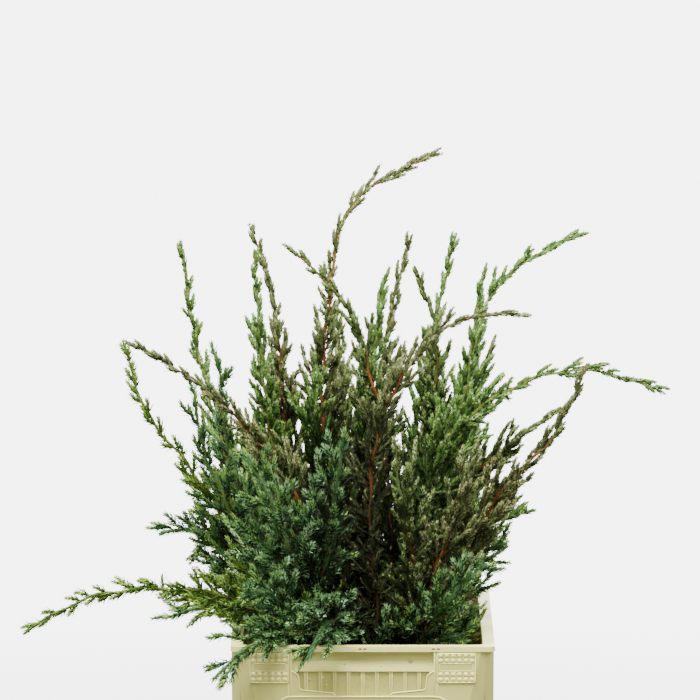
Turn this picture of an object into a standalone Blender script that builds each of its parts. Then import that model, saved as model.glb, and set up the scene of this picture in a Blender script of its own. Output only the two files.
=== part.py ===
"""Cut juniper branches standing in a cream plastic flower bucket.

Metres, +Z up. The origin is the middle of the bucket's flat underside, and the short side with the
card holder faces -Y. Each branch is one tapering bough that stands on the bucket's floor and ends at
a fork, where its masses of foliage start. A mass is one solid: a three-sided stem along a smooth
curve, with sprays of needles fused to it by a seeded rule, each mass inside its own space.
"""

import math
import random
from typing import NamedTuple

import bmesh
import bpy
import numpy as np
from mathutils.bvhtree import BVHTree

MM = 0.001
GAP = 0.3 * MM  # between solids that touch on the real thing
TINY = 0.01 * MM

# Bucket
BUCKET_HEIGHT = 285 * MM
RIM_HALF = (145 * MM, 195 * MM)
RIM_WIDTH = 13 * MM
LIP_HEIGHT = 5.5 * MM
LIP_RADIUS = 5 * MM
WALL = 2.8 * MM
FLOOR = 3.0 * MM
SKIRT_HEIGHT = 72 * MM  # the outer wall that hangs from the rim
SKIRT_WALL = 2.5 * MM
SKIRT_SETBACK = 1.0 * MM  # behind the lip
SKIRT_CUT = (15 * MM, 29 * MM)  # corner cut under the lip and at the skirt's lower edge
BODY_TAPER = math.tan(math.radians(2.4))
BODY_CUT = (12 * MM, 50 * MM)  # corner cut at the rim and at the foot
CORNER_POINTS = ((0.0, 1.0), (0.25, 0.51), (0.51, 0.25), (1.0, 0.0))  # insets, as shares of the cut

# Card holder, in the middle of each short side, and the two stud pads beside it
HOLDER_HALF = 78 * MM
HOLDER_DROP = 50.5 * MM  # from the lip to the holder's lower ledge
NOTCH_DROP = 11.5 * MM
NOTCH_DEPTH = 7.5 * MM
SHELF_DROP = 22.5 * MM
SHELF_DEPTH = 3.0 * MM
POCKET_DEPTH = 5.5 * MM
HOLDER_BACK = 9.5 * MM
HOLDER_CHEEK = 3 * MM  # the solid past the pocket's sides and foot
RIB_PITCH = 15.5 * MM
RIB_SIZE = (3.0 * MM, 1.2 * MM)
CARD_LIP_THICKNESS = 1.8 * MM
# One L-shaped lip that keeps a card in: how far in from its outer edge, and up from its foot
CARD_LIP = (
    (0 * MM, 0 * MM),
    (0 * MM, 28 * MM),
    (5.4 * MM, 28 * MM),
    (9 * MM, 11 * MM),
    (12 * MM, 8 * MM),
    (45 * MM, 4.5 * MM),
    (48 * MM, 0 * MM),
)
PAD_SPAN = (81 * MM, 124 * MM)
PAD_DROP = (1.5 * MM, 35 * MM)
PAD_PROUD = 0.8 * MM
PAD_ROOT = 1.0 * MM
BITE = 0.5 * MM  # how far one piece is sunk into the next before they are joined
OVERCUT = 2 * MM  # how far a cutting tool stands out of the face it cuts

# Branches
FOOT_RADIUS = 5.2 * MM
FORK_RADIUS = 3.4 * MM
BOUGH_SIDES = 5
BOUGH_PIECES = 4
FOOT_SPREAD = 0.62  # how far a foot stands from the middle, as a share of its fork's distance
KNEE_SHARE = 0.4  # how far below its fork a bough starts to lean, as a share of its length
KNEE_RISE = 1.2  # how much of that lean goes up
SIDE_STEP = 24 * MM  # between one mass and the next down a bough
STEM_SIDES = 3
STEM_RADIUS = (3.0 * MM, 1.2 * MM)
STEM_ROOM = 1.5 * GAP  # between a stem and its bough
STEM_STEP = 55 * MM  # about the length of one straight piece of a stem
SPLAY = (math.radians(46), math.radians(22))  # a spray's angle to its stem, at the root and the tip
LIFT = 0.12  # how far a spray turns up to the light
TIP_SHARE = 0.42  # a spray's length at the tip, as a share of its length at the root
SPRAY_ROOT = 0.9 * MM
SPRAY_WIDTH = 0.2  # a spray's half width, as a share of its length
SPRAY_WIDTH_LIMITS = (5.5 * MM, 14.0 * MM)
SPRAY_PROFILE = ((0.60, 1.0), (0.48, 0.38))  # needle tips, then the core they stand out of
# The room a spray takes: places along it, with its half width there as a share of the greatest
SPRAY_BALLS = ((0.15, 0.4), (0.35, 0.7), (0.58, 1.0), (0.8, 0.4), (1.0, 0.1))
SPRAY_CUTS = (1.0, 0.85, 0.72, 0.6, 0.5, 0.4)  # lengths to try, as shares of the full one
SPRAY_TURNS = (0.0, 2.1, -2.1, 1.05, -1.05, 3.14)  # turns about the stem to try at each length
SPRAY_JITTER = 0.2
FIRST_SPRAY = 0.06  # where the first spray leaves, as a share of the stem
ROOT_CROWDING = 1.15  # above one, sprays stand closer at the root
END_WIDTH = 4.2 * MM  # half width of the stem's own last spray
END_BULGE = 0.45  # where that spray is widest, as a share of the last piece of the stem


class Mass(NamedTuple):
    """A mass of foliage: the points its stem passes, its longest spray, their number and its tint."""

    name: str
    course: tuple
    reach: float
    sprays: int
    tint: str


class Bough(NamedTuple):
    """One cut branch: where it forks, and the masses that start there, the first from its end."""

    name: str
    fork: tuple
    masses: tuple


BOUGHS = (
    Bough("left_tall", (-0.056, 0.012, 0.285), (
        Mass("bronze_spire", ((-0.090, 0.020, 0.535), (-0.100, 0.025, 0.640), (-0.125, 0.030, 0.720)),
             0.084, 9, "bronze"),
        Mass("green_spire", ((-0.105, -0.035, 0.515), (-0.115, -0.050, 0.620), (-0.120, -0.050, 0.700)),
             0.076, 9, "green"),
    )),
    Bough("left_green", (-0.096, 0.055, 0.300), (
        Mass("leader", ((-0.160, 0.080, 0.475), (-0.185, 0.100, 0.570), (-0.205, 0.120, 0.690)),
             0.084, 9, "green"),
        Mass("side", ((-0.140, 0.030, 0.430), (-0.155, 0.020, 0.500), (-0.160, 0.010, 0.570)),
             0.090, 9, "blue_green"),
        Mass("low", ((-0.145, 0.050, 0.355), (-0.168, 0.048, 0.365), (-0.185, 0.045, 0.355)),
             0.084, 7, "blue_green"),
    )),
    Bough("left_hook", (-0.104, -0.015, 0.300), (
        Mass("leader", ((-0.190, -0.030, 0.455), (-0.240, -0.030, 0.520), (-0.265, -0.020, 0.595)),
             0.068, 9, "yellow_green"),
        Mass("upper", ((-0.150, -0.055, 0.420), (-0.175, -0.070, 0.480), (-0.185, -0.080, 0.535)),
             0.090, 9, "blue_green"),
        Mass("lower", ((-0.155, -0.045, 0.365), (-0.185, -0.050, 0.390), (-0.220, -0.060, 0.390)),
             0.084, 8, "blue_green"),
    )),
    Bough("left_bow", (-0.014, -0.074, 0.285), (
        Mass("leader", ((-0.110, -0.100, 0.490), (-0.185, -0.100, 0.565), (-0.255, -0.090, 0.605)),
             0.076, 9, "bronze"),
    )),
    Bough("left_low", (-0.105, -0.115, 0.315), (
        Mass("leader", ((-0.210, -0.140, 0.340), (-0.295, -0.130, 0.330), (-0.370, -0.120, 0.290)),
             0.076, 9, "yellow_green"),
        Mass("under", ((-0.145, -0.090, 0.315), (-0.172, -0.085, 0.312), (-0.205, -0.080, 0.300)),
             0.076, 7, "blue_green"),
    )),
    Bough("arch", (-0.020, 0.030, 0.285), (
        Mass("leader", ((-0.040, 0.040, 0.610), (-0.010, 0.050, 0.745), (0.085, 0.060, 0.800)),
             0.076, 11, "bronze"),
        Mass("low", ((-0.045, 0.000, 0.440), (-0.052, -0.020, 0.500), (-0.050, -0.025, 0.560)),
             0.099, 9, "green"),
    )),
    Bough("cross", (0.032, -0.028, 0.275), (
        Mass("leader", ((0.015, -0.035, 0.535), (-0.015, -0.040, 0.635), (-0.085, -0.050, 0.710)),
             0.068, 9, "olive"),
    )),
    Bough("middle", (0.008, 0.082, 0.285), (
        Mass("leader", ((0.020, 0.110, 0.525), (0.035, 0.130, 0.625), (0.055, 0.140, 0.695)),
             0.084, 9, "bronze"),
        Mass("green", ((0.002, 0.060, 0.500), (0.015, 0.055, 0.590), (0.025, 0.055, 0.660)),
             0.084, 9, "green"),
    )),
    Bough("right_tall", (0.048, 0.082, 0.285), (
        Mass("leader", ((0.075, 0.120, 0.545), (0.090, 0.140, 0.630), (0.105, 0.150, 0.695)),
             0.076, 9, "green"),
        Mass("bent", ((0.082, 0.060, 0.535), (0.080, 0.055, 0.610), (0.060, 0.050, 0.670)),
             0.076, 9, "olive"),
    )),
    Bough("right_green", (0.086, 0.035, 0.300), (
        Mass("leader", ((0.120, 0.060, 0.530), (0.150, 0.080, 0.645), (0.250, 0.100, 0.705)),
             0.084, 11, "green"),
        Mass("twin", ((0.112, -0.005, 0.520), (0.125, -0.010, 0.615), (0.135, -0.010, 0.675)),
             0.076, 9, "green"),
        Mass("low", ((0.122, 0.020, 0.345), (0.140, 0.012, 0.358), (0.155, 0.005, 0.365)),
             0.076, 7, "blue_green"),
    )),
    Bough("right_brown", (0.020, -0.086, 0.285), (
        Mass("leader", ((0.048, -0.090, 0.575), (0.100, -0.100, 0.630), (0.180, -0.100, 0.640)),
             0.068, 9, "bronze"),
    )),
    Bough("right_bow", (0.054, -0.060, 0.285), (
        Mass("leader", ((0.125, -0.080, 0.530), (0.235, -0.080, 0.575), (0.330, -0.070, 0.550)),
             0.076, 11, "green"),
        Mass("side", ((0.125, -0.030, 0.450), (0.170, -0.030, 0.490), (0.225, -0.030, 0.525)),
             0.076, 9, "olive"),
    )),
    Bough("right_low", (0.080, -0.092, 0.300), (
        Mass("leader", ((0.150, -0.120, 0.440), (0.210, -0.130, 0.510), (0.245, -0.130, 0.585)),
             0.084, 9, "bronze"),
        Mass("side", ((0.115, -0.050, 0.370), (0.142, -0.045, 0.395), (0.175, -0.045, 0.415)),
             0.076, 8, "green"),
    )),
    Bough("front_left", (-0.056, -0.100, 0.305), (
        Mass("upper", ((-0.080, -0.140, 0.385), (-0.100, -0.165, 0.445), (-0.125, -0.175, 0.485)),
             0.109, 9, "blue_green"),
        Mass("middle", ((-0.038, -0.145, 0.390), (-0.030, -0.175, 0.450), (-0.024, -0.185, 0.505)),
             0.105, 9, "blue_green"),
        Mass("lower", ((-0.085, -0.165, 0.325), (-0.105, -0.195, 0.345), (-0.125, -0.225, 0.350)),
             0.090, 9, "blue_green"),
    )),
    Bough("droop", (-0.030, -0.135, 0.292), (
        Mass("right", ((-0.036, -0.185, 0.312), (-0.045, -0.220, 0.305), (-0.058, -0.240, 0.285)),
             0.073, 8, "blue_green"),
        Mass("left", ((-0.085, -0.185, 0.298), (-0.120, -0.220, 0.292), (-0.160, -0.240, 0.260)),
             0.068, 8, "blue_green"),
    )),
    Bough("front_right", (0.054, -0.118, 0.305), (
        Mass("spire", ((0.052, -0.145, 0.380), (0.042, -0.160, 0.440), (0.035, -0.165, 0.500)),
             0.084, 9, "olive"),
        Mass("upper", ((0.086, -0.150, 0.380), (0.106, -0.160, 0.440), (0.125, -0.160, 0.500)),
             0.093, 9, "bronze"),
        Mass("lower", ((0.085, -0.155, 0.318), (0.105, -0.168, 0.345), (0.130, -0.175, 0.370)),
             0.078, 9, "blue_green"),
    )),
    Bough("back_left", (-0.080, 0.100, 0.300), (
        Mass("up", ((-0.100, 0.155, 0.455), (-0.110, 0.185, 0.530), (-0.130, 0.205, 0.590)),
             0.105, 9, "green"),
        Mass("out", ((-0.125, 0.175, 0.375), (-0.155, 0.225, 0.400), (-0.175, 0.275, 0.400)),
             0.105, 9, "blue_green"),
    )),
    Bough("back_middle", (-0.020, 0.128, 0.300), (
        Mass("up", ((-0.020, 0.175, 0.460), (-0.025, 0.205, 0.540), (-0.030, 0.220, 0.605)),
             0.105, 9, "olive"),
        Mass("out", ((-0.030, 0.205, 0.380), (-0.040, 0.265, 0.405), (-0.045, 0.320, 0.400)),
             0.105, 9, "green"),
    )),
    Bough("back_right", (0.064, 0.122, 0.300), (
        Mass("up", ((0.100, 0.170, 0.450), (0.125, 0.190, 0.510), (0.150, 0.205, 0.560)),
             0.100, 9, "bronze"),
        Mass("out", ((0.095, 0.190, 0.375), (0.118, 0.235, 0.395), (0.140, 0.285, 0.390)),
             0.100, 9, "green"),
    )),
)

COLOURS = {
    "cream_plastic": (0.66, 0.62, 0.42, 1.0),
    "bark": (0.28, 0.11, 0.04, 1.0),
    "blue_green": (0.05, 0.16, 0.10, 1.0),
    "green": (0.07, 0.19, 0.07, 1.0),
    "yellow_green": (0.14, 0.26, 0.05, 1.0),
    "olive": (0.14, 0.17, 0.08, 1.0),
    "bronze": (0.20, 0.14, 0.08, 1.0),
}


def material(name, roughness):
    """A Principled material with one of the object's colours."""
    found = bpy.data.materials.get(name)
    if found:
        return found
    made = bpy.data.materials.new(name)
    made.use_nodes = True
    shader = made.node_tree.nodes["Principled BSDF"]
    shader.inputs["Base Color"].default_value = COLOURS[name]
    shader.inputs["Roughness"].default_value = roughness
    shader.inputs["Metallic"].default_value = 0.0
    made.diffuse_color = COLOURS[name]
    return made


def new_object(name, points, faces):
    """A mesh object in the scene's own collection."""
    mesh = bpy.data.meshes.new(name)
    mesh.from_pydata([tuple(p) for p in points], [], faces)
    made = bpy.data.objects.new(name, mesh)
    bpy.context.scene.collection.objects.link(made)
    return made


def loft(name, rings):
    """A closed solid through rings of equal length, with a flat cap on each end."""
    count = len(rings[0])
    points = [p for ring in rings for p in ring]
    faces = [tuple(reversed(range(count)))]
    for lower in range(len(rings) - 1):
        base = lower * count
        for k in range(count):
            following = (k + 1) % count
            faces.append((base + k, base + following, base + count + following, base + count + k))
    faces.append(tuple(range((len(rings) - 1) * count, len(rings) * count)))
    return new_object(name, points, faces)


def block(name, lowest, highest):
    """A plain box between two corners."""
    (x0, y0, z0), (x1, y1, z1) = lowest, highest
    lower = [(x0, y0, z0), (x1, y0, z0), (x1, y1, z0), (x0, y1, z0)]
    upper = [(x, y, z1) for x, y, _ in lower]
    return loft(name, [lower, upper])


def prism(name, outline, y0, y1):
    """A solid whose outline lies in X and Z, from y0 back to y1."""
    return loft(name, [[(x, y1, z) for x, z in outline], [(x, y0, z) for x, z in outline]])


def is_closed(mesh):
    """True if every edge of the mesh has exactly two faces."""
    uses = np.zeros(len(mesh.edges), dtype=int)
    edges = np.zeros(len(mesh.loops), dtype=int)
    mesh.loops.foreach_get("edge_index", edges)
    np.add.at(uses, edges, 1)
    return len(edges) > 0 and bool((uses == 2).all())


def combine(target, others, operation):
    """One Boolean of the target with all the others at once, applied, with the others removed."""
    group = bpy.data.collections.new(target.name + "_tools")
    bpy.context.scene.collection.children.link(group)
    for other in others:
        bpy.context.scene.collection.objects.unlink(other)
        group.objects.link(other)
    result = None
    for solver in ("EXACT", "MANIFOLD"):
        step = target.modifiers.new("combine", "BOOLEAN")
        step.operation = operation
        step.operand_type = "COLLECTION"
        step.collection = group
        step.solver = solver
        evaluated = target.evaluated_get(bpy.context.evaluated_depsgraph_get())
        result = bpy.data.meshes.new_from_object(evaluated)
        target.modifiers.remove(step)
        if is_closed(result):
            break
    target.data = result
    for other in others:
        bpy.data.objects.remove(other)
    bpy.data.collections.remove(group)


def keep_largest_body(target):
    """Drops any loose scrap that lies apart from the main body."""
    shape = bmesh.new()
    shape.from_mesh(target.data)
    left = set(shape.verts)
    bodies = []
    while left:
        body = set()
        front = [left.pop()]
        while front:
            point = front.pop()
            body.add(point)
            for edge in point.link_edges:
                other = edge.other_vert(point)
                if other in left:
                    left.discard(other)
                    front.append(other)
        bodies.append(body)
    largest = max(bodies, key=len)
    for body in bodies:
        if body is not largest:
            bmesh.ops.delete(shape, geom=list(body), context="VERTS")
    bmesh.ops.triangulate(shape, faces=shape.faces)
    shape.to_mesh(target.data)
    shape.free()


# Bucket


def cut_rectangle(half_x, half_y, cut, z):
    """A rectangle with four rounded-out cut corners, four points each, seen anticlockwise from above."""
    ring = []
    for turn, (sign_x, sign_y) in enumerate(((1, 1), (-1, 1), (-1, -1), (1, -1))):
        for inset_x, inset_y in CORNER_POINTS if turn % 2 == 0 else CORNER_POINTS[::-1]:
            ring.append((sign_x * (half_x - cut * inset_x), sign_y * (half_y - cut * inset_y), z))
    return ring


def body_ring(z, inset, cut):
    """The body's section at a height, set in from its outer face."""
    drop = (BUCKET_HEIGHT - z) * BODY_TAPER
    half_x = RIM_HALF[0] - RIM_WIDTH + WALL - drop - inset
    half_y = RIM_HALF[1] - RIM_WIDTH + WALL - drop - inset
    return cut_rectangle(half_x, half_y, cut, z)


def skirt_ring(z, inset, cut):
    """The hanging skirt's section at a height, set in from its outer face."""
    half_x = RIM_HALF[0] - SKIRT_SETBACK - inset
    half_y = RIM_HALF[1] - SKIRT_SETBACK - inset
    return cut_rectangle(half_x, half_y, cut, z)


def bucket_shell():
    """Body, hanging skirt, lip and inside as one surface, from the foot up, over the rim and down."""
    under_lip = BUCKET_HEIGHT - LIP_HEIGHT
    skirt_foot = BUCKET_HEIGHT - SKIRT_HEIGHT
    rim = RIM_HALF
    inner = (rim[0] - RIM_WIDTH, rim[1] - RIM_WIDTH)
    return loft("bucket", [
        body_ring(0.0, 0.0, BODY_CUT[1]),
        body_ring(under_lip, 0.0, BODY_CUT[0]),
        skirt_ring(under_lip, SKIRT_WALL, SKIRT_CUT[0]),
        skirt_ring(skirt_foot, SKIRT_WALL, SKIRT_CUT[1]),
        skirt_ring(skirt_foot, 0.0, SKIRT_CUT[1]),
        skirt_ring(under_lip, 0.0, SKIRT_CUT[0]),
        cut_rectangle(rim[0], rim[1], LIP_RADIUS, under_lip),
        cut_rectangle(rim[0], rim[1], LIP_RADIUS, BUCKET_HEIGHT),
        cut_rectangle(inner[0], inner[1], LIP_RADIUS, BUCKET_HEIGHT),
        body_ring(BUCKET_HEIGHT - LIP_HEIGHT, WALL, LIP_RADIUS),
        body_ring(FLOOR, WALL, BODY_CUT[1] - WALL),
    ])


def card_lip_outline(arm_side):
    """The L-shaped lip on the left (-1) or the right (1), in X and Z."""
    foot = BUCKET_HEIGHT - LIP_HEIGHT - HOLDER_DROP
    outline = [(arm_side * (HOLDER_HALF + BITE - inward), foot + up) for inward, up in CARD_LIP]
    return outline if arm_side > 0 else outline[::-1]


def turned(made, side):
    """A piece made for the side at -Y, left there (side -1) or turned half round (side 1)."""
    if side > 0:
        for vertex in made.data.vertices:
            vertex.co.x = -vertex.co.x
            vertex.co.y = -vertex.co.y
    return made


def dress_short_side(shell, side):
    """Card holder and stud pads on the short side at -Y (side -1) or +Y (side 1)."""
    front = -(RIM_HALF[1] - SKIRT_SETBACK)
    lip = BUCKET_HEIGHT - LIP_HEIGHT
    foot = lip - HOLDER_DROP
    shelf = lip - SHELF_DROP
    reach = HOLDER_HALF + HOLDER_CHEEK
    backing = block("holder_back", (-reach, front + BITE, foot - HOLDER_CHEEK),
                    (reach, front + HOLDER_BACK, lip + BITE))
    combine(shell, [turned(backing, side)], "UNION")
    notch_top = lip - TINY
    notch = [
        (front - OVERCUT, notch_top),
        (front - OVERCUT, shelf),
        (front + SHELF_DEPTH, shelf),
        (front + NOTCH_DEPTH, lip - NOTCH_DROP),
        (front + NOTCH_DEPTH, notch_top),
    ]
    notch_tool = loft("notch", [[(x, y, z) for y, z in notch] for x in (-HOLDER_HALF, HOLDER_HALF)])
    pocket_tool = block("pocket", (-HOLDER_HALF, front - OVERCUT, foot),
                        (HOLDER_HALF, front + POCKET_DEPTH, shelf + TINY))
    combine(shell, [turned(notch_tool, side), turned(pocket_tool, side)], "DIFFERENCE")
    pocket_back = front + POCKET_DEPTH
    spaces = int(2 * HOLDER_HALF / RIB_PITCH)
    added = []
    for k in range(1, spaces):
        middle = (k - spaces / 2) * RIB_PITCH
        added.append(block("rib", (middle - RIB_SIZE[0] / 2, pocket_back - RIB_SIZE[1], foot - BITE),
                           (middle + RIB_SIZE[0] / 2, pocket_back + BITE, shelf + BITE)))
    for arm_side in (-1, 1):
        added.append(prism("card_lip", card_lip_outline(arm_side), front, front + CARD_LIP_THICKNESS))
        near, far = sorted((arm_side * PAD_SPAN[0], arm_side * PAD_SPAN[1]))
        added.append(block("pad", (near, front - PAD_PROUD, lip - PAD_DROP[1]),
                           (far, front + PAD_ROOT, lip - PAD_DROP[0])))
    combine(shell, [turned(piece, side) for piece in added], "UNION")


def make_bucket():
    """The bucket as one moulded body."""
    shell = bucket_shell()
    for side in (-1, 1):
        dress_short_side(shell, side)
    keep_largest_body(shell)
    shell.data.materials.clear()
    shell.data.materials.append(material("cream_plastic", 0.42))
    return shell


# Curves


def smooth_path(points, count):
    """Points along a curve through the given ones, with tangents weighted by the chords beside them."""
    places = np.asarray(points, dtype=float)
    chords = np.linalg.norm(np.diff(places, axis=0), axis=1)
    knots = np.concatenate(([0.0], np.cumsum(chords)))
    slopes = np.diff(places, axis=0) / chords[:, None]
    weights = chords[1:] / (chords[:-1] + chords[1:])
    inner = slopes[:-1] * weights[:, None] + slopes[1:] * (1 - weights)[:, None]
    first = 1.5 * slopes[0] - 0.5 * inner[0]
    last = 1.5 * slopes[-1] - 0.5 * inner[-1]
    tangents = np.vstack((first, inner, last))
    along = np.linspace(0.0, knots[-1], count)
    piece = np.clip(np.searchsorted(knots, along, side="right") - 1, 0, len(chords) - 1)
    h = chords[piece][:, None]
    s = ((along - knots[piece])[:, None]) / h
    return (
        places[piece] * (2 * s**3 - 3 * s**2 + 1)
        + tangents[piece] * h * (s**3 - 2 * s**2 + s)
        + places[piece + 1] * (3 * s**2 - 2 * s**3)
        + tangents[piece + 1] * h * (s**3 - s**2)
    )


def unit(vector):
    """The vector scaled to length one."""
    return np.asarray(vector, dtype=float) / np.linalg.norm(vector)


def path_frames(path, facing):
    """For each point of a path its direction and two directions across, carried along without twist.

    The first direction across starts towards `facing`.
    """
    ahead = np.gradient(path, axis=0)
    ahead /= np.linalg.norm(ahead, axis=1)[:, None]
    side = np.array(facing)
    frames = []
    for direction in ahead:
        side = unit(side - direction * np.dot(side, direction))
        frames.append((direction, side, np.cross(direction, side)))
    return frames


def tube(name, path, radii, sides, facing):
    """A tapering limb of a few flat sides along a path, one of its edges towards `facing`."""
    turns = [2 * math.pi * k / sides for k in range(sides)]
    rings = []
    for point, radius, (_, side, other) in zip(path, radii, path_frames(path, facing)):
        rings.append([point + radius * (math.cos(a) * side + math.sin(a) * other) for a in turns])
    return loft(name, rings)


def path_length(path):
    """The length of a path of straight pieces."""
    return float(np.sum(np.linalg.norm(np.diff(path, axis=0), axis=1)))


def distance_to_path(point, path):
    """The distance from a point to a path of straight pieces."""
    start, step = path[:-1], np.diff(path, axis=0)
    share = np.einsum("ij,ij->i", point - start, step) / np.einsum("ij,ij->i", step, step)
    nearest = start + np.clip(share, 0.0, 1.0)[:, None] * step
    return float(np.min(np.linalg.norm(point - nearest, axis=1)))


# Boughs and the stems of their masses


def bough_path(bough):
    """From a foot on the bucket's floor to the fork, where it leans towards its first mass."""
    fork = np.array(bough.fork)
    foot = np.array((fork[0] * FOOT_SPREAD, fork[1] * FOOT_SPREAD, FLOOR + GAP))
    lean = unit(unit(np.array(bough.masses[0].course[0]) - fork) + np.array((0.0, 0.0, KNEE_RISE)))
    knee = fork - lean * KNEE_SHARE * np.linalg.norm(fork - foot)
    start = unit(knee - foot)
    foot[2] += FOOT_RADIUS * math.hypot(start[0], start[1])
    share = np.linspace(0.0, 1.0, BOUGH_PIECES + 1)[:, None]
    return foot * (1 - share) ** 2 + 2 * knee * share * (1 - share) + fork * share**2


def make_bough(bough):
    """One tapering limb."""
    path = bough_path(bough)
    radii = np.linspace(FOOT_RADIUS, FORK_RADIUS, len(path))
    limb = tube("bough_" + bough.name, path, radii, BOUGH_SIDES, (1.0, 0.0, 0.0))
    limb.data.materials.append(material("bark", 0.8))
    return limb


def surface_tree(limb):
    """A search tree of a limb's faces."""
    points = [vertex.co for vertex in limb.data.vertices]
    return BVHTree.FromPolygons(points, [face.vertices[:] for face in limb.data.polygons])


def mass_path(bough, order, tree):
    """A mass's stem, and the way one of its edges faces.

    The first stem goes on from the bough's end, with an edge up. Each other starts lower, beside the
    bough, with an edge towards it.
    """
    limb = bough_path(bough)
    course = [np.array(p) for p in bough.masses[order].course]
    down = unit(limb[-2] - limb[-1])
    origin = limb[-1] + down * order * SIDE_STEP
    out = unit(course[0] - origin)
    cosine = abs(float(np.dot(out, down)))
    if order == 0:
        reach_down = STEM_RADIUS[0] * math.cos(math.pi / STEM_SIDES) * math.sqrt(1.0 - cosine**2)
        start = origin + out * (STEM_ROOM + reach_down) / cosine
        facing = -down
    else:
        across = unit(out - down * np.dot(out, down))
        to_surface = tree.ray_cast(origin, across)[3]
        start = origin + across * (to_surface + STEM_ROOM + STEM_RADIUS[0] * cosine)
        facing = -across
    points = np.array([start, *course])
    return smooth_path(points, max(5, 2 + round(path_length(points) / STEM_STEP))), facing


# Foliage


class Space:
    """What a mass keeps to: the places nearer to its own stem than to any other, clear of every limb."""

    def __init__(self, limbs):
        self.limbs = [bough_path(bough) for bough in BOUGHS]
        self.stems = {}
        self.facings = {}
        for bough, limb in zip(BOUGHS, limbs):
            tree = surface_tree(limb)
            for order, mass in enumerate(bough.masses):
                key = (bough.name, mass.name)
                self.stems[key], self.facings[key] = mass_path(bough, order, tree)

    def clear_of_bucket(self, point):
        """How far a point is from the bucket's wall, skirt and rim, or less than nothing inside them."""
        x, y, z = abs(point[0]), abs(point[1]), point[2]
        drop = max(BUCKET_HEIGHT - z, 0.0) * BODY_TAPER
        inside = min(RIM_HALF[0] - RIM_WIDTH - drop - x, RIM_HALF[1] - RIM_WIDTH - drop - y)
        outside = max(x - RIM_HALF[0], y - RIM_HALF[1])
        return max(inside, outside, z - BUCKET_HEIGHT)

    def holds(self, key, point, radius):
        """True if a ball round the point stays in the space of the named mass."""
        if self.clear_of_bucket(point) < radius + 2 * GAP:
            return False
        limb_room = radius + FOOT_RADIUS + GAP
        if any(distance_to_path(point, limb) < limb_room for limb in self.limbs):
            return False
        own = distance_to_path(point, self.stems[key])
        for other, stem in self.stems.items():
            if other == key:
                continue
            away = distance_to_path(point, stem)
            if away < radius + STEM_RADIUS[0] + GAP or away - own < 2 * radius + GAP:
                return False
        return True


def spray(root, direction, length, width, turn):
    """A slim core with a whorl of three needles that stand out of it, and a pointed end.

    Rings of three points follow each other along the axis, each turned by a sixth from the one
    before: a slim root, the needles' tips, the slim core inside them, and the point.
    """
    side = unit(np.cross(direction, (0.31, 0.52, 0.79)))
    other = np.cross(direction, side)
    profile = [(0.0, SPRAY_ROOT), *((share, width * size) for share, size in SPRAY_PROFILE)]
    points = []
    for k, (share, radius) in enumerate(profile):
        middle = root + direction * length * share
        for i in range(3):
            angle = turn + math.pi / 3 * (k % 2) + 2 * math.pi * i / 3
            points.append(middle + radius * (math.cos(angle) * side + math.sin(angle) * other))
    points.append(root + direction * length)
    faces = [(2, 1, 0)]
    for k in range(len(profile) - 1):
        lower, upper = 3 * k, 3 * (k + 1)
        for i in range(3):
            after = (i + 1) % 3
            if k % 2 == 0:
                faces.append((lower + i, lower + after, upper + i))
                faces.append((upper + i, lower + after, upper + after))
            else:
                faces.append((lower + i, lower + after, upper + after))
                faces.append((lower + i, upper + after, upper + i))
    last = 3 * (len(profile) - 1)
    faces.extend((last + i, last + (i + 1) % 3, len(points) - 1) for i in range(3))
    return points, faces


def spray_fits(space, key, root, direction, length, width):
    """True if balls along the spray, as wide as it is there, all stay in the mass's space."""
    return all(space.holds(key, root + direction * length * s, width * w) for s, w in SPRAY_BALLS)


def mass_stem(name, path, facing):
    """The three-sided stem of a mass, whose last piece is a spray of its own."""
    bulge = path[-2] + (path[-1] - path[-2]) * END_BULGE
    places = np.array([*path[:-1], bulge, path[-1]])
    radii = [*np.linspace(*STEM_RADIUS, len(path) - 1), END_WIDTH, 0.1 * END_WIDTH]
    return tube(name, places, radii, STEM_SIDES, facing)


def place_spray(space, key, mass, path, frames, share, rank, chance):
    """The longest spray that fits near one place on a stem, or nothing.

    The angle to the stem narrows and the length falls from root to tip, and each turns up a little.
    """
    low, rest = divmod(share * (len(path) - 1), 1)
    low = int(low)
    root = path[low] + (path[low + 1] - path[low]) * rest
    ahead, side, other = frames[low]
    splay = SPLAY[0] + (SPLAY[1] - SPLAY[0]) * share
    full = mass.reach * (1 - (1 - TIP_SHARE) * share) * chance.uniform(0.9, 1.1)
    jitter = chance.uniform(-SPRAY_JITTER, SPRAY_JITTER)
    for cut in SPRAY_CUTS:
        length = full * cut
        width = min(max(length * SPRAY_WIDTH, SPRAY_WIDTH_LIMITS[0]), SPRAY_WIDTH_LIMITS[1])
        for more in SPRAY_TURNS:
            turn = math.pi / STEM_SIDES * (1 + 2 * rank) + jitter + more
            across = math.cos(turn) * side + math.sin(turn) * other
            ahead_share = math.cos(splay) * ahead + math.sin(splay) * across
            direction = unit(ahead_share + np.array((0.0, 0.0, LIFT)))
            if spray_fits(space, key, root, direction, length, width):
                return new_object("spray", *spray(root, direction, length, width, turn))
    return None


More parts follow.
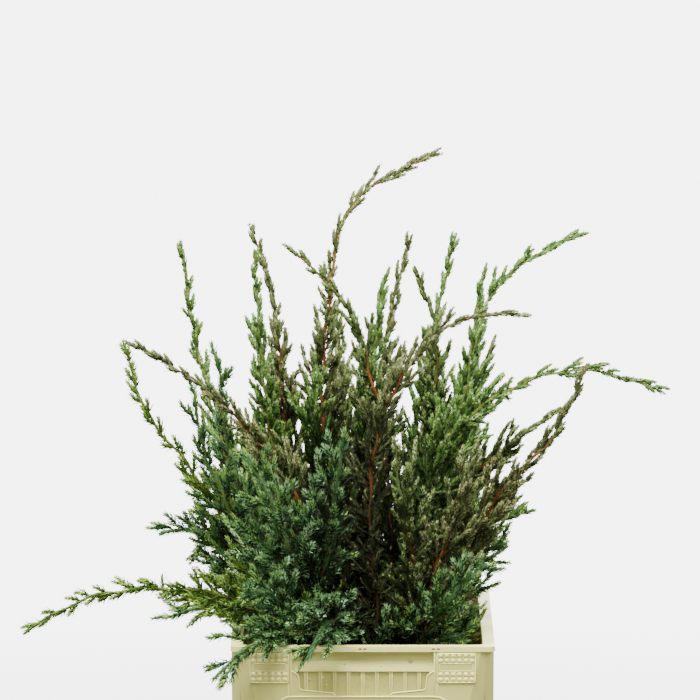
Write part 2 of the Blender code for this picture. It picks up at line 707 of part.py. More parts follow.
def make_mass(bough, order, space):
    """A stem with its sprays, fused into one body.

    Sprays leave the stem evenly along its length, one from each of its three sides in turn. A spray
    that would leave the mass's space is turned about the stem or cut shorter, or else left out.
    """
    mass = bough.masses[order]
    key = (bough.name, mass.name)
    chance = random.Random("-".join(key))
    path = space.stems[key]
    stem = mass_stem(f"foliage_{bough.name}_{mass.name}", path, space.facings[key])
    last_spray = 1.0 - 1.0 / (len(path) - 1)
    frames = path_frames(path, space.facings[key])
    sprays = []
    for k in range(mass.sprays):
        step = ((k + chance.uniform(0.3, 0.7)) / mass.sprays) ** ROOT_CROWDING
        share = FIRST_SPRAY + (last_spray - FIRST_SPRAY) * step
        made = place_spray(space, key, mass, path, frames, share, 2 * k % STEM_SIDES, chance)
        if made:
            sprays.append(made)
    combine(stem, sprays, "UNION")
    keep_largest_body(stem)
    stem.data.materials.clear()
    stem.data.materials.append(material(mass.tint, 0.6))
    return stem


def main():
    """Clears the scene and makes the bucket, the boughs and the masses."""
    for old in list(bpy.data.objects):
        bpy.data.objects.remove(old)
    make_bucket()
    space = Space([make_bough(bough) for bough in BOUGHS])
    for bough in BOUGHS:
        for order in range(len(bough.masses)):
            make_mass(bough, order, space)


main()
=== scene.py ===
"""Looks for the cut juniper branches in a cream flower bucket.

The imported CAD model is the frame. Every foliage node is grown again here by the part's own rule,
carried on to finer twigs and single needles. Every bough gets a mesh with bark relief, and the
bucket gets soft edges, stud pads, slots, water drops and a worn plastic finish.

Metres, +Z up. The origin is the middle of the bucket's flat underside, and the short side with the
card holder faces -Y.
"""

import logging
import math
from dataclasses import dataclass, field, replace
from enum import Enum, IntEnum

import bmesh
import bpy
import numpy as np
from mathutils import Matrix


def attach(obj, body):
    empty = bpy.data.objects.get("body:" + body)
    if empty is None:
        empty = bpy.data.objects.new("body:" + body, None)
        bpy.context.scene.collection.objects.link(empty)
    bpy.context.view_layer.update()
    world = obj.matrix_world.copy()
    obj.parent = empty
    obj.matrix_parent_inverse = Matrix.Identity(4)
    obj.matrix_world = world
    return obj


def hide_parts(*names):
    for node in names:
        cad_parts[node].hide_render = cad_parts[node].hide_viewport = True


logging.basicConfig(level=logging.INFO, format="%(message)s")
LOG = logging.getLogger("juniper")

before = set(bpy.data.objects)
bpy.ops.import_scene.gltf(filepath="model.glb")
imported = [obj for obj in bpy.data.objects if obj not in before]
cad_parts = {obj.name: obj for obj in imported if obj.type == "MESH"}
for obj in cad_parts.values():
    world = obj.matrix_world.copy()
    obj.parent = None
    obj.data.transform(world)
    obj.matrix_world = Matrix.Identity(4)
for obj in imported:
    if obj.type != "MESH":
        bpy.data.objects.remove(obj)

MM = 0.001
SEED = 20261
TRIANGLES_A_PIECE = 190_000

Array = np.ndarray
Colour = tuple[float, float, float]


# Shader wires


class Channel:
    """A number carried by a shader's wire, whose arithmetic adds the nodes that work it out."""

    def __init__(self, tree: bpy.types.NodeTree, socket: bpy.types.NodeSocket) -> None:
        self.tree = tree
        self.socket = socket

    def _math(self, operation: str, *terms: "Channel | float", clamp: bool = False) -> "Channel":
        """Adds one Math node.

        Args:
            operation: The Math node's operation.
            terms: Its inputs in order, as channels or plain numbers.
            clamp: Whether the result is kept between 0 and 1.

        Returns:
            The node's result.
        """
        node = self.tree.nodes.new("ShaderNodeMath")
        node.operation = operation
        node.use_clamp = clamp
        for slot, term in zip(node.inputs, terms):
            if isinstance(term, Channel):
                self.tree.links.new(term.socket, slot)
            else:
                slot.default_value = term
        return Channel(self.tree, node.outputs[0])

    def __add__(self, other: "Channel | float") -> "Channel":
        return self._math("ADD", self, other)

    def __radd__(self, other: float) -> "Channel":
        return self._math("ADD", other, self)

    def __sub__(self, other: "Channel | float") -> "Channel":
        return self._math("SUBTRACT", self, other)

    def __rsub__(self, other: float) -> "Channel":
        return self._math("SUBTRACT", other, self)

    def __mul__(self, other: "Channel | float") -> "Channel":
        return self._math("MULTIPLY", self, other)

    def __rmul__(self, other: float) -> "Channel":
        return self._math("MULTIPLY", other, self)

    def __truediv__(self, other: "Channel | float") -> "Channel":
        return self._math("DIVIDE", self, other)

    def __rtruediv__(self, other: float) -> "Channel":
        return self._math("DIVIDE", other, self)

    def __pow__(self, other: "Channel | float") -> "Channel":
        return self._math("POWER", self, other)

    def __abs__(self) -> "Channel":
        return self._math("ABSOLUTE", self)

    def smaller(self, other: "Channel | float") -> "Channel":
        """The smaller of this and the other."""
        return self._math("MINIMUM", self, other)

    def larger(self, other: "Channel | float") -> "Channel":
        """The larger of this and the other."""
        return self._math("MAXIMUM", self, other)

    def ramp(self, start: float, end: float) -> "Channel":
        """Rises from 0 where this equals start to 1 where it equals end, and stays there."""
        return self._math("DIVIDE", self - start, end - start, clamp=True)


class Surface:
    """A Principled material that is built up from channels and colours."""

    def __init__(self, name: str, colour: Colour, roughness: float) -> None:
        self.material = bpy.data.materials.new(name)
        self.material.use_nodes = True
        self.tree = self.material.node_tree
        self.shader = self.tree.nodes["Principled BSDF"]
        self.shader.inputs["Base Color"].default_value = (*colour, 1.0)
        self.shader.inputs["Roughness"].default_value = roughness
        self.material.diffuse_color = (*colour, 1.0)

    def set(self, **numbers: float) -> "Surface":
        """Sets plain numbers on the shader's own sockets, with underscores for spaces."""
        for name, number in numbers.items():
            self.shader.inputs[name.replace("_", " ")].default_value = number
        return self

    def node(self, kind: str, inputs: dict | None = None, **settings: object) -> bpy.types.Node:
        """Adds one node.

        Args:
            kind: The node's type name without the ShaderNode prefix.
            inputs: Values, channels or sockets for its inputs, by name or place.
            settings: Attributes of the node itself.

        Returns:
            The new node.
        """
        made = self.tree.nodes.new("ShaderNode" + kind)
        for name, setting in settings.items():
            setattr(made, name, setting)
        for key, given in (inputs or {}).items():
            slot = made.inputs[key]
            if isinstance(given, Channel):
                self.tree.links.new(given.socket, slot)
            elif isinstance(given, bpy.types.NodeSocket):
                self.tree.links.new(given, slot)
            else:
                slot.default_value = given
        return made

    def place(self) -> bpy.types.NodeSocket:
        """The object's own coordinates, which are metres here."""
        return self.node("TexCoord").outputs["Object"]

    def axes(self) -> tuple[Channel, Channel, Channel]:
        """The object's own coordinates as three channels."""
        apart = self.node("SeparateXYZ", {0: self.place()})
        return tuple(Channel(self.tree, apart.outputs[k]) for k in range(3))

    def noise(self, scale: float, detail: float = 2.0, stretch: Colour = (1.0, 1.0, 1.0)) -> Channel:
        """Soft noise from 0 to 1 with about `scale` lumps a metre."""
        placed = self.node("Mapping", {"Vector": self.place(), "Scale": stretch})
        made = self.node("TexNoise", {"Vector": placed.outputs[0], "Scale": scale, "Detail": detail})
        return Channel(self.tree, made.outputs[0])

    def blend(self, first: object, second: object, share: Channel) -> bpy.types.NodeSocket:
        """A colour between two, each a plain colour or a socket."""
        made = self.node("Mix", data_type="RGBA")
        for place, given in ((6, first), (7, second)):
            if isinstance(given, bpy.types.NodeSocket):
                self.tree.links.new(given, made.inputs[place])
            else:
                made.inputs[place].default_value = (*given, 1.0)
        self.tree.links.new(share.socket, made.inputs[0])
        return made.outputs[2]

    def drive(self, name: str, source: object) -> "Surface":
        """Links a channel or socket to one of the shader's inputs."""
        socket = source.socket if isinstance(source, Channel) else source
        self.tree.links.new(socket, self.shader.inputs[name])
        return self

    def bump(self, height: Channel, distance: float, strength: float = 1.0) -> "Surface":
        """Raises the surface by a channel, `distance` metres for each unit of it."""
        made = self.node("Bump", {"Height": height, "Distance": distance, "Strength": strength})
        return self.drive("Normal", made.outputs[0])


# Finishes


@dataclass(frozen=True)
class PlasticFinish:
    """Cream polypropylene that has been through many washes."""

    clean: Colour = (0.665, 0.640, 0.180)
    shaded: Colour = (0.560, 0.522, 0.128)
    # painted shade of the ribbed pocket, which lies recessed under the shelf
    pocket: Colour = (0.470, 0.440, 0.122)
    # a paler cream that paints light on up-facing faces and the highlights of the raised lines
    painted_highlight: Colour = (0.930, 0.900, 0.300)
    # brown of real stains, also laid on the inner wall, where it stands partly for painted shade
    stain: Colour = (0.260, 0.130, 0.030)
    roughness: float = 0.32

    def make(self) -> bpy.types.Material:
        """Returns the material, with blotches, brown stains low in the pocket, painted shade in the pocket, a
        painted highlight on the shelf and the lip's top, an inner wall partly stained and partly painted with
        shade, and fine scratches.
        """
        surface = Surface("cream_plastic", self.clean, self.roughness)
        x, y, z = surface.axes()
        blotches = surface.noise(26.0, 5.0).ramp(0.42, 0.68)
        colour = surface.blend(self.clean, self.shaded, blotches * 0.35)
        behind = (1.0 - (abs(y) - 0.188).ramp(0.0, 0.0035)) * (abs(x) - 0.0785).ramp(0.0, -0.001)
        low_in_pocket = behind * z.ramp(0.249, 0.231) * z.ramp(0.226, 0.229)
        specks = surface.noise(240.0, 4.0).ramp(0.52, 0.70)
        dirt = (low_in_pocket * specks).larger(surface.noise(90.0, 6.0).ramp(0.66, 0.80) * 0.30)
        # the inner wall below the rim is partly a brown stain and partly painted shade, darkening from just
        # below the rim down
        inside = z.ramp(0.284, 0.262) * (1.0 - (abs(x) - 0.1335).ramp(0.0, 0.002))
        inside = inside * (1.0 - (abs(y) - 0.1835).ramp(0.0, 0.002)) * z.ramp(0.212, 0.216)
        colour = surface.blend(colour, self.stain, (dirt + inside * 0.75).smaller(1.0))
        # painted light: the shelf and the lip's top, which face up, are made paler
        shelf_light = behind * z.ramp(0.2565, 0.2572) * z.ramp(0.2685, 0.2678)
        colour = surface.blend(colour, self.painted_highlight, (shelf_light * 0.8).larger(z.ramp(0.2788, 0.2796)))
        # painted shade: the pocket, recessed under the shelf, is made darker
        pocket_shade = behind * z.ramp(0.2288, 0.2294) * z.ramp(0.2574, 0.2568)
        colour = surface.blend(colour, self.pocket, pocket_shade * 0.8)
        surface.drive("Base Color", colour)
        scratches = surface.noise(900.0, 2.0, (1.0, 1.0, 0.12))
        surface.drive("Roughness", self.roughness + blotches * 0.16 + scratches * 0.08)
        surface.bump(scratches * 0.4 + surface.noise(60.0, 2.0), 0.00008)
        return surface.material

    def painted_ridge_highlight(self) -> bpy.types.Material:
        """Returns the material of the raised lines, a paler cream that is their painted highlight."""
        return Surface("polished_edge", self.painted_highlight, 0.22).material

    def wet(self) -> bpy.types.Material:
        """Returns the material of a water drop, through which the plastic shows a little darker."""
        return Surface("water_drop", self.shaded, 0.04).set(Coat_Weight=1.0).material

    def worn(self) -> bpy.types.Material:
        """Returns the material of the dirty slots in the lip."""
        surface = Surface("worn_slot", self.stain, 0.7)
        share = surface.noise(900.0, 2.0).ramp(0.35, 0.65)
        surface.drive("Base Color", surface.blend((0.060, 0.026, 0.010), self.stain, share))
        return surface.material


@dataclass(frozen=True)
class BarkFinish:
    """Thin bark that flakes in long strips."""

    name: str
    light: Colour
    dark: Colour
    roughness: float
    # painted shade for bark deep in the crown's middle and low down
    deep: Colour = (0.040, 0.016, 0.007)

    def make(self) -> bpy.types.Material:
        """Returns the material, with strips along the bough and fine cracks, and painted shade deep in the
        crown and low down.
        """
        surface = Surface(self.name, self.light, self.roughness).set(Specular_IOR_Level=0.20)
        strips = surface.noise(420.0, 5.0, (1.0, 1.0, 0.10)).ramp(0.40, 0.62)
        patches = surface.noise(70.0, 3.0).ramp(0.40, 0.64)
        colour = surface.blend(self.dark, self.light, strips * 0.7 + patches * 0.3)
        x, _y, z = surface.axes()
        # painted shade: darker in the middle below the crown's dense part, and everywhere low down
        deep = (z.ramp(0.510, 0.430) * abs(x).ramp(0.085, 0.045)).larger(z.ramp(0.400, 0.310))
        surface.drive("Base Color", surface.blend(colour, self.deep, deep * 0.85))
        surface.drive("Roughness", self.roughness + patches * 0.15)
        surface.bump(strips, 0.0003)
        return surface.material


class Tint(Enum):
    """The tints of foliage, named as the CAD's material slots are."""

    BLUE_GREEN = "blue_green"
    GREEN = "green"
    YELLOW_GREEN = "yellow_green"
    OLIVE = "olive"
    BRONZE = "bronze"


class Slot(IntEnum):
    """Where a tint's colours stand among a foliage piece's materials."""

    FOOT = 0
    MATURE = 1  # and the two after it
    YOUNG = 4  # and the two after it
    OLD = 7
    INNER = 8
    WHITISH = 9


@dataclass(frozen=True)
class NeedleFinish:
    """One tint's needle colours, dealt out by spray and by place along the shoot."""

    foot: Colour
    mature: tuple[Colour, Colour, Colour]
    young: tuple[Colour, Colour, Colour]
    old: Colour
    inner: Colour
    whitish: Colour
    roughness: float = 0.52

    def make(self, tint: Tint) -> list[bpy.types.Material]:
        """Returns one plain material for each slot, in order."""
        colours = (self.foot, *self.mature, *self.young, self.old, self.inner, self.whitish)
        return [
            Surface(f"{tint.value}_{slot}", colour, self.roughness).set(Specular_IOR_Level=0.22).material
            for slot, colour in enumerate(colours)
        ]

    def heart(self, tint: Tint) -> bpy.types.Material:
        """Returns the material of the heart of a shoot: painted shade makes it dark deep in the crown, and it
        is green on the leaders.
        """
        surface = Surface(f"{tint.value}_heart", self.foot, 0.7).set(Specular_IOR_Level=0.15)
        colour = surface.blend(self.foot, self.mature[0], surface.noise(700.0, 2.0).ramp(0.4, 0.6))
        x, _y, z = surface.axes()
        # painted shade: the heart darkens deep in the crown's middle and stays lighter out on the leaders
        deep = z.ramp(0.500, 0.430) * abs(x).ramp(0.090, 0.050)
        leading = z.ramp(0.52, 0.62).larger(abs(x).ramp(0.19, 0.26))
        colour = surface.blend(colour, self.foot, deep * 0.8)
        surface.drive("Base Color", surface.blend(colour, self.mature[0], leading * 0.85))
        return surface.material


NEEDLES: dict[Tint, NeedleFinish] = {
    Tint.BLUE_GREEN: NeedleFinish(
        foot=(0.012, 0.028, 0.008),
        mature=((0.060, 0.147, 0.045), (0.109, 0.236, 0.064), (0.169, 0.315, 0.126)),
        young=((0.246, 0.401, 0.081), (0.300, 0.476, 0.107), (0.364, 0.562, 0.257)),
        old=(0.030, 0.019, 0.008),
        inner=(0.129, 0.259, 0.107),
        whitish=(0.282, 0.454, 0.258),
    ),
    Tint.GREEN: NeedleFinish(
        foot=(0.022, 0.048, 0.009),
        mature=((0.075, 0.156, 0.030), (0.106, 0.199, 0.039), (0.139, 0.240, 0.063)),
        young=((0.212, 0.342, 0.065), (0.249, 0.393, 0.089), (0.293, 0.438, 0.141)),
        old=(0.026, 0.016, 0.006),
        inner=(0.129, 0.225, 0.059),
        whitish=(0.240, 0.360, 0.180),
    ),
    Tint.YELLOW_GREEN: NeedleFinish(
        foot=(0.026, 0.052, 0.008),
        mature=((0.086, 0.169, 0.021), (0.121, 0.218, 0.028), (0.160, 0.263, 0.041)),
        young=((0.221, 0.353, 0.041), (0.265, 0.398, 0.057), (0.300, 0.428, 0.101)),
        old=(0.050, 0.030, 0.010),
        inner=(0.130, 0.218, 0.040),
        whitish=(0.240, 0.345, 0.165),
    ),
    Tint.OLIVE: NeedleFinish(
        foot=(0.020, 0.030, 0.009),
        mature=((0.078, 0.127, 0.029), (0.114, 0.171, 0.043), (0.151, 0.211, 0.067)),
        young=((0.229, 0.306, 0.080), (0.272, 0.350, 0.110), (0.306, 0.389, 0.158)),
        old=(0.025, 0.019, 0.007),
        inner=(0.167, 0.227, 0.080),
        whitish=(0.240, 0.310, 0.175),
    ),
    Tint.BRONZE: NeedleFinish(
        foot=(0.024, 0.030, 0.011),
        mature=((0.097, 0.119, 0.035), (0.136, 0.147, 0.050), (0.114, 0.166, 0.046)),
        young=((0.233, 0.258, 0.084), (0.280, 0.288, 0.117), (0.243, 0.309, 0.115)),
        old=(0.028, 0.019, 0.007),
        inner=(0.189, 0.197, 0.082),
        whitish=(0.245, 0.262, 0.160),
    ),
}


# The part's own plan, in metres


@dataclass(frozen=True)
class Mass:
    """A mass of foliage: the points its stem passes, its longest spray and its tint."""

    name: str
    course: tuple[tuple[float, float, float], ...]
    reach: float
    tint: Tint


@dataclass(frozen=True)
class Bough:
    """One cut branch: where it forks, and the masses that start there, the first from its end."""

    name: str
    fork: tuple[float, float, float]
    masses: tuple[Mass, ...]


BOUGHS: tuple[Bough, ...] = (
    Bough("left_tall", (-0.056, 0.012, 0.285), (
        Mass("bronze_spire", ((-0.090, 0.020, 0.535), (-0.100, 0.025, 0.640), (-0.125, 0.030, 0.720)),
             0.084, Tint.BRONZE),
        Mass("green_spire", ((-0.105, -0.035, 0.515), (-0.115, -0.050, 0.620), (-0.120, -0.050, 0.700)),
             0.076, Tint.GREEN),
    )),
    Bough("left_green", (-0.096, 0.055, 0.300), (
        Mass("leader", ((-0.160, 0.080, 0.475), (-0.185, 0.100, 0.570), (-0.205, 0.120, 0.690)),
             0.084, Tint.GREEN),
        Mass("side", ((-0.140, 0.030, 0.430), (-0.155, 0.020, 0.500), (-0.160, 0.010, 0.570)),
             0.090, Tint.BLUE_GREEN),
        Mass("low", ((-0.145, 0.050, 0.355), (-0.168, 0.048, 0.365), (-0.185, 0.045, 0.355)),
             0.084, Tint.BLUE_GREEN),
    )),
    Bough("left_hook", (-0.104, -0.015, 0.300), (
        Mass("leader", ((-0.190, -0.030, 0.455), (-0.240, -0.030, 0.520), (-0.265, -0.020, 0.595)),
             0.068, Tint.YELLOW_GREEN),
        Mass("upper", ((-0.150, -0.055, 0.420), (-0.175, -0.070, 0.480), (-0.185, -0.080, 0.535)),
             0.090, Tint.BLUE_GREEN),
        Mass("lower", ((-0.155, -0.045, 0.365), (-0.185, -0.050, 0.390), (-0.220, -0.060, 0.390)),
             0.084, Tint.BLUE_GREEN),
    )),
    Bough("left_bow", (-0.014, -0.074, 0.285), (
        Mass("leader", ((-0.110, -0.100, 0.490), (-0.185, -0.100, 0.565), (-0.255, -0.090, 0.605)),
             0.076, Tint.BRONZE),
    )),
    Bough("left_low", (-0.105, -0.115, 0.315), (
        Mass("leader", ((-0.210, -0.140, 0.340), (-0.295, -0.130, 0.330), (-0.370, -0.120, 0.290)),
             0.076, Tint.YELLOW_GREEN),
        Mass("under", ((-0.145, -0.090, 0.315), (-0.172, -0.085, 0.312), (-0.205, -0.080, 0.300)),
             0.076, Tint.BLUE_GREEN),
    )),
    Bough("arch", (-0.020, 0.030, 0.285), (
        Mass("leader", ((-0.040, 0.040, 0.610), (-0.010, 0.050, 0.745), (0.085, 0.060, 0.800)),
             0.076, Tint.BRONZE),
        Mass("low", ((-0.045, 0.000, 0.440), (-0.052, -0.020, 0.500), (-0.050, -0.025, 0.560)),
             0.099, Tint.GREEN),
    )),
    Bough("cross", (0.032, -0.028, 0.275), (
        Mass("leader", ((0.015, -0.035, 0.535), (-0.015, -0.040, 0.635), (-0.085, -0.050, 0.710)),
             0.068, Tint.OLIVE),
    )),
    Bough("middle", (0.008, 0.082, 0.285), (
        Mass("leader", ((0.020, 0.110, 0.525), (0.035, 0.130, 0.625), (0.055, 0.140, 0.695)),
             0.084, Tint.BRONZE),
        Mass("green", ((0.002, 0.060, 0.500), (0.015, 0.055, 0.590), (0.025, 0.055, 0.660)),
             0.084, Tint.GREEN),
    )),
    Bough("right_tall", (0.048, 0.082, 0.285), (
        Mass("leader", ((0.075, 0.120, 0.545), (0.090, 0.140, 0.630), (0.105, 0.150, 0.695)),
             0.076, Tint.GREEN),
        Mass("bent", ((0.082, 0.060, 0.535), (0.080, 0.055, 0.610), (0.060, 0.050, 0.670)),
             0.076, Tint.OLIVE),
    )),
    Bough("right_green", (0.086, 0.035, 0.300), (
        Mass("leader", ((0.120, 0.060, 0.530), (0.150, 0.080, 0.645), (0.250, 0.100, 0.705)),
             0.084, Tint.GREEN),
        Mass("twin", ((0.112, -0.005, 0.520), (0.125, -0.010, 0.615), (0.135, -0.010, 0.675)),
             0.076, Tint.GREEN),
        Mass("low", ((0.122, 0.020, 0.345), (0.140, 0.012, 0.358), (0.155, 0.005, 0.365)),
             0.076, Tint.BLUE_GREEN),
    )),
    Bough("right_brown", (0.020, -0.086, 0.285), (
        Mass("leader", ((0.048, -0.090, 0.575), (0.100, -0.100, 0.630), (0.180, -0.100, 0.640)),
             0.068, Tint.BRONZE),
    )),
    Bough("right_bow", (0.054, -0.060, 0.285), (
        Mass("leader", ((0.125, -0.080, 0.530), (0.235, -0.080, 0.575), (0.330, -0.070, 0.550)),
             0.076, Tint.GREEN),
        Mass("side", ((0.125, -0.030, 0.450), (0.170, -0.030, 0.490), (0.225, -0.030, 0.525)),
             0.076, Tint.OLIVE),
    )),
    Bough("right_low", (0.080, -0.092, 0.300), (
        Mass("leader", ((0.150, -0.120, 0.440), (0.210, -0.130, 0.510), (0.245, -0.130, 0.585)),
             0.084, Tint.BRONZE),
        Mass("side", ((0.115, -0.050, 0.370), (0.142, -0.045, 0.395), (0.175, -0.045, 0.415)),
             0.076, Tint.GREEN),
    )),
    Bough("front_left", (-0.056, -0.100, 0.305), (
        Mass("upper", ((-0.080, -0.140, 0.385), (-0.100, -0.165, 0.445), (-0.125, -0.175, 0.485)),
             0.109, Tint.BLUE_GREEN),
        Mass("middle", ((-0.038, -0.145, 0.390), (-0.030, -0.175, 0.450), (-0.024, -0.185, 0.505)),
             0.105, Tint.BLUE_GREEN),
        Mass("lower", ((-0.085, -0.165, 0.325), (-0.105, -0.195, 0.345), (-0.125, -0.225, 0.350)),
             0.090, Tint.BLUE_GREEN),
    )),
    Bough("droop", (-0.030, -0.135, 0.292), (
        Mass("right", ((-0.036, -0.185, 0.312), (-0.045, -0.220, 0.305), (-0.058, -0.240, 0.285)),
             0.073, Tint.BLUE_GREEN),
        Mass("left", ((-0.085, -0.185, 0.298), (-0.120, -0.220, 0.292), (-0.160, -0.240, 0.260)),
             0.068, Tint.BLUE_GREEN),
    )),
    Bough("front_right", (0.054, -0.118, 0.305), (
        Mass("spire", ((0.052, -0.145, 0.380), (0.042, -0.160, 0.440), (0.035, -0.165, 0.500)),
             0.084, Tint.OLIVE),
        Mass("upper", ((0.086, -0.150, 0.380), (0.106, -0.160, 0.440), (0.125, -0.160, 0.500)),
             0.093, Tint.BRONZE),
        Mass("lower", ((0.085, -0.155, 0.318), (0.105, -0.168, 0.345), (0.130, -0.175, 0.370)),
             0.078, Tint.BLUE_GREEN),
    )),
    Bough("back_left", (-0.080, 0.100, 0.300), (
        Mass("up", ((-0.100, 0.155, 0.455), (-0.110, 0.185, 0.530), (-0.130, 0.205, 0.590)),
             0.105, Tint.GREEN),
        Mass("out", ((-0.125, 0.175, 0.375), (-0.155, 0.225, 0.400), (-0.175, 0.275, 0.400)),
             0.105, Tint.BLUE_GREEN),
    )),
    Bough("back_middle", (-0.020, 0.128, 0.300), (
        Mass("up", ((-0.020, 0.175, 0.460), (-0.025, 0.205, 0.540), (-0.030, 0.220, 0.605)),
             0.105, Tint.OLIVE),
        Mass("out", ((-0.030, 0.205, 0.380), (-0.040, 0.265, 0.405), (-0.045, 0.320, 0.400)),
             0.105, Tint.GREEN),
    )),
    Bough("back_right", (0.064, 0.122, 0.300), (
        Mass("up", ((0.100, 0.170, 0.450), (0.125, 0.190, 0.510), (0.150, 0.205, 0.560)),
             0.100, Tint.BRONZE),
        Mass("out", ((0.095, 0.190, 0.375), (0.118, 0.235, 0.395), (0.140, 0.285, 0.390)),
             0.100, Tint.GREEN),
    )),
)

BUCKET_HEIGHT = 285 * MM
RIM_HALF = (145 * MM, 195 * MM)
RIM_WIDTH = 13 * MM
FLOOR = 3.0 * MM
SKIRT_FOOT = 213 * MM
BODY_TAPER = math.tan(math.radians(2.4))
FOOT_RADIUS = 5.2 * MM
FORK_RADIUS = 3.4 * MM
FOOT_SPREAD = 0.62
KNEE_SHARE = 0.4
KNEE_RISE = 1.2
SIDE_STEP = 24 * MM

STEM_RADIUS = (2.3 * MM, 1.0 * MM)
SHOOT_RADIUS = 1.2 * MM
LONG = 24 * MM  # from this length on a shoot has offshoots and shows wood
STEM_STEP = 12 * MM  # what is shorter is a step of a stem, whose own needles are all of one colour
LIFT = 0.12  # how far every shoot turns up
STRAY = (0.35, 0.22)  # outside the crown's body, the chance of a longer shoot, and how much longer
FLAT = 0.46  # how far a shoot's turn about its stem is drawn to the stem's sides
LOOK_FROM = (0.0, 0.10, 0.0)  # the flat sprays look away from this place,
LOOK_SHARES = (0.25, 1.0, 0.0)  # by these shares of the way along each axis,
LOOK_UP = (0.0, 0.0, 0.05)  # and up a little
WAVE = (1.6 * MM, 58 * MM)  # how far a stem sways to its sides, and over what length
FOOT_SHARE = 0.28  # up to which share of a stem old needles hide it

INNER_SPLAY = (74.0, 50.0)  # the angle to the wood of collar shoots and of sparse ones, in degrees
INNER_WILD = 0.30  # and how far both kinds stray from the rule's directions, in radians
COLLAR_TINTS = {"left_low": Tint.YELLOW_GREEN}  # the others' are the last mass's

Ball = tuple[tuple[float, float, float], tuple[float, float, float]]  # its centre and half-axes
BODY: Ball = ((0.005, 0.0, 0.300), (0.220, 0.310, 0.340))  # the crown's dense body
APRON: Ball = ((-0.125, -0.225, 0.290), (0.065, 0.075, 0.065))  # the plumes over the front wall's left
# in the crown's middle some needles are old and brown and the others get painted shade
HOLLOW: Ball = ((0.010, -0.020, 0.370), (0.110, 0.140, 0.185))  # the crown's dark middle
CLEFT: Ball = ((0.014, -0.150, 0.420), (0.040, 0.110, 0.115))  # the gap in front where it shows

@dataclass(frozen=True)
class Habit:
    """How one tint's stems carry their shoots and those their needles, and what bare wood shows."""

    needle: float
    width: float
    spread: float  # the angle between needle and shoot, in degrees
    closing: float  # how far that angle has closed at the shoot's tip, as a share
    whorl: float  # between one whorl of three needles and the next
    core: float  # the radius of the shaded heart of a shoot, where the needles' feet overlap
    last: float  # how long the shoots are at a stem's tip, or outside the crown's body
    splay: tuple[float, float]  # a shoot's angle to its stem, at the root and the tip, in degrees
    fall: float  # how shoots shorten to the tip, by 1 - share**fall
    steps: tuple[float, float]  # between one shoot and the next, on a stem and on a shoot
    hug: tuple[float, float]  # an offshoot's angle to its shoot, at the root and the tip, in degrees
    offshoot: tuple[float, float]  # the shortest and the longest offshoot
    glaucous: float  # the share of sprays whose inner faces are whitish
    clad: float  # from which share of a stem its own needles hide it
    wood: str


PLUMP = Habit(
    needle=7.2 * MM, width=2.9 * MM, spread=31.0, closing=0.60, whorl=3.6 * MM, core=2.6 * MM,
    last=21 * MM, splay=(42.0, 16.0), fall=2.5, steps=(7.8 * MM, 11.0 * MM), hug=(26.0, 15.0),
    offshoot=(16 * MM, 36 * MM), glaucous=0.10, clad=0.35, wood="green_twig",
)
HABITS: dict[Tint, Habit] = {
    Tint.BLUE_GREEN: Habit(
        needle=10.2 * MM, width=2.5 * MM, spread=39.0, closing=0.36, whorl=3.0 * MM, core=2.2 * MM,
        last=28 * MM, splay=(60.0, 30.0), fall=2.2, steps=(11.5 * MM, 17.0 * MM), hug=(50.0, 34.0),
        offshoot=(21 * MM, 34 * MM), glaucous=0.07, clad=0.35, wood="green_twig",
    ),
    Tint.GREEN: PLUMP,
    Tint.YELLOW_GREEN: Habit(
        needle=9.4 * MM, width=2.5 * MM, spread=38.0, closing=0.38, whorl=2.9 * MM, core=2.2 * MM,
        last=18 * MM, splay=(58.0, 24.0), fall=2.2, steps=(9.0 * MM, 14.0 * MM), hug=(44.0, 28.0),
        offshoot=(17 * MM, 28 * MM), glaucous=0.08, clad=0.12, wood="green_twig",
    ),
    Tint.OLIVE: replace(PLUMP, glaucous=0.12, clad=0.66, wood="red_twig"),
    Tint.BRONZE: replace(PLUMP, clad=0.70, wood="red_twig"),
}


# Whole-array geometry


def unit(vectors: Array) -> Array:
    """The vectors, along the last axis, scaled to length one."""
    return vectors / np.maximum(np.linalg.norm(vectors, axis=-1, keepdims=True), 1e-12)


def across(vectors: Array) -> tuple[Array, Array]:
    """Two unit directions across each of the given unit vectors, and across each other."""
    helper = np.where(np.abs(vectors[..., 1:2]) < 0.8, (0.0, 1.0, 0.0), (1.0, 0.0, 0.0))
    side = unit(np.cross(vectors, helper))
    return side, np.cross(vectors, side)


def smooth_path(points: Array, count: int) -> Array:
    """Points along a curve through the given ones, with tangents weighted by the chords beside them."""
    places = np.asarray(points, dtype=float)
    chords = np.linalg.norm(np.diff(places, axis=0), axis=1)
    knots = np.concatenate(([0.0], np.cumsum(chords)))
    slopes = np.diff(places, axis=0) / chords[:, None]
    weights = chords[1:] / (chords[:-1] + chords[1:])
    inner = slopes[:-1] * weights[:, None] + slopes[1:] * (1 - weights)[:, None]
    first = 1.5 * slopes[0] - 0.5 * inner[0]
    last = 1.5 * slopes[-1] - 0.5 * inner[-1]
    tangents = np.vstack((first, inner, last))
    along = np.linspace(0.0, knots[-1], count)
    piece = np.clip(np.searchsorted(knots, along, side="right") - 1, 0, len(chords) - 1)
    h = chords[piece][:, None]
    s = (along - knots[piece])[:, None] / h
    return (
        places[piece] * (2 * s**3 - 3 * s**2 + 1)
        + tangents[piece] * h * (s**3 - 2 * s**2 + s)
        + places[piece + 1] * (3 * s**2 - 2 * s**3)
        + tangents[piece + 1] * h * (s**3 - s**2)
    )


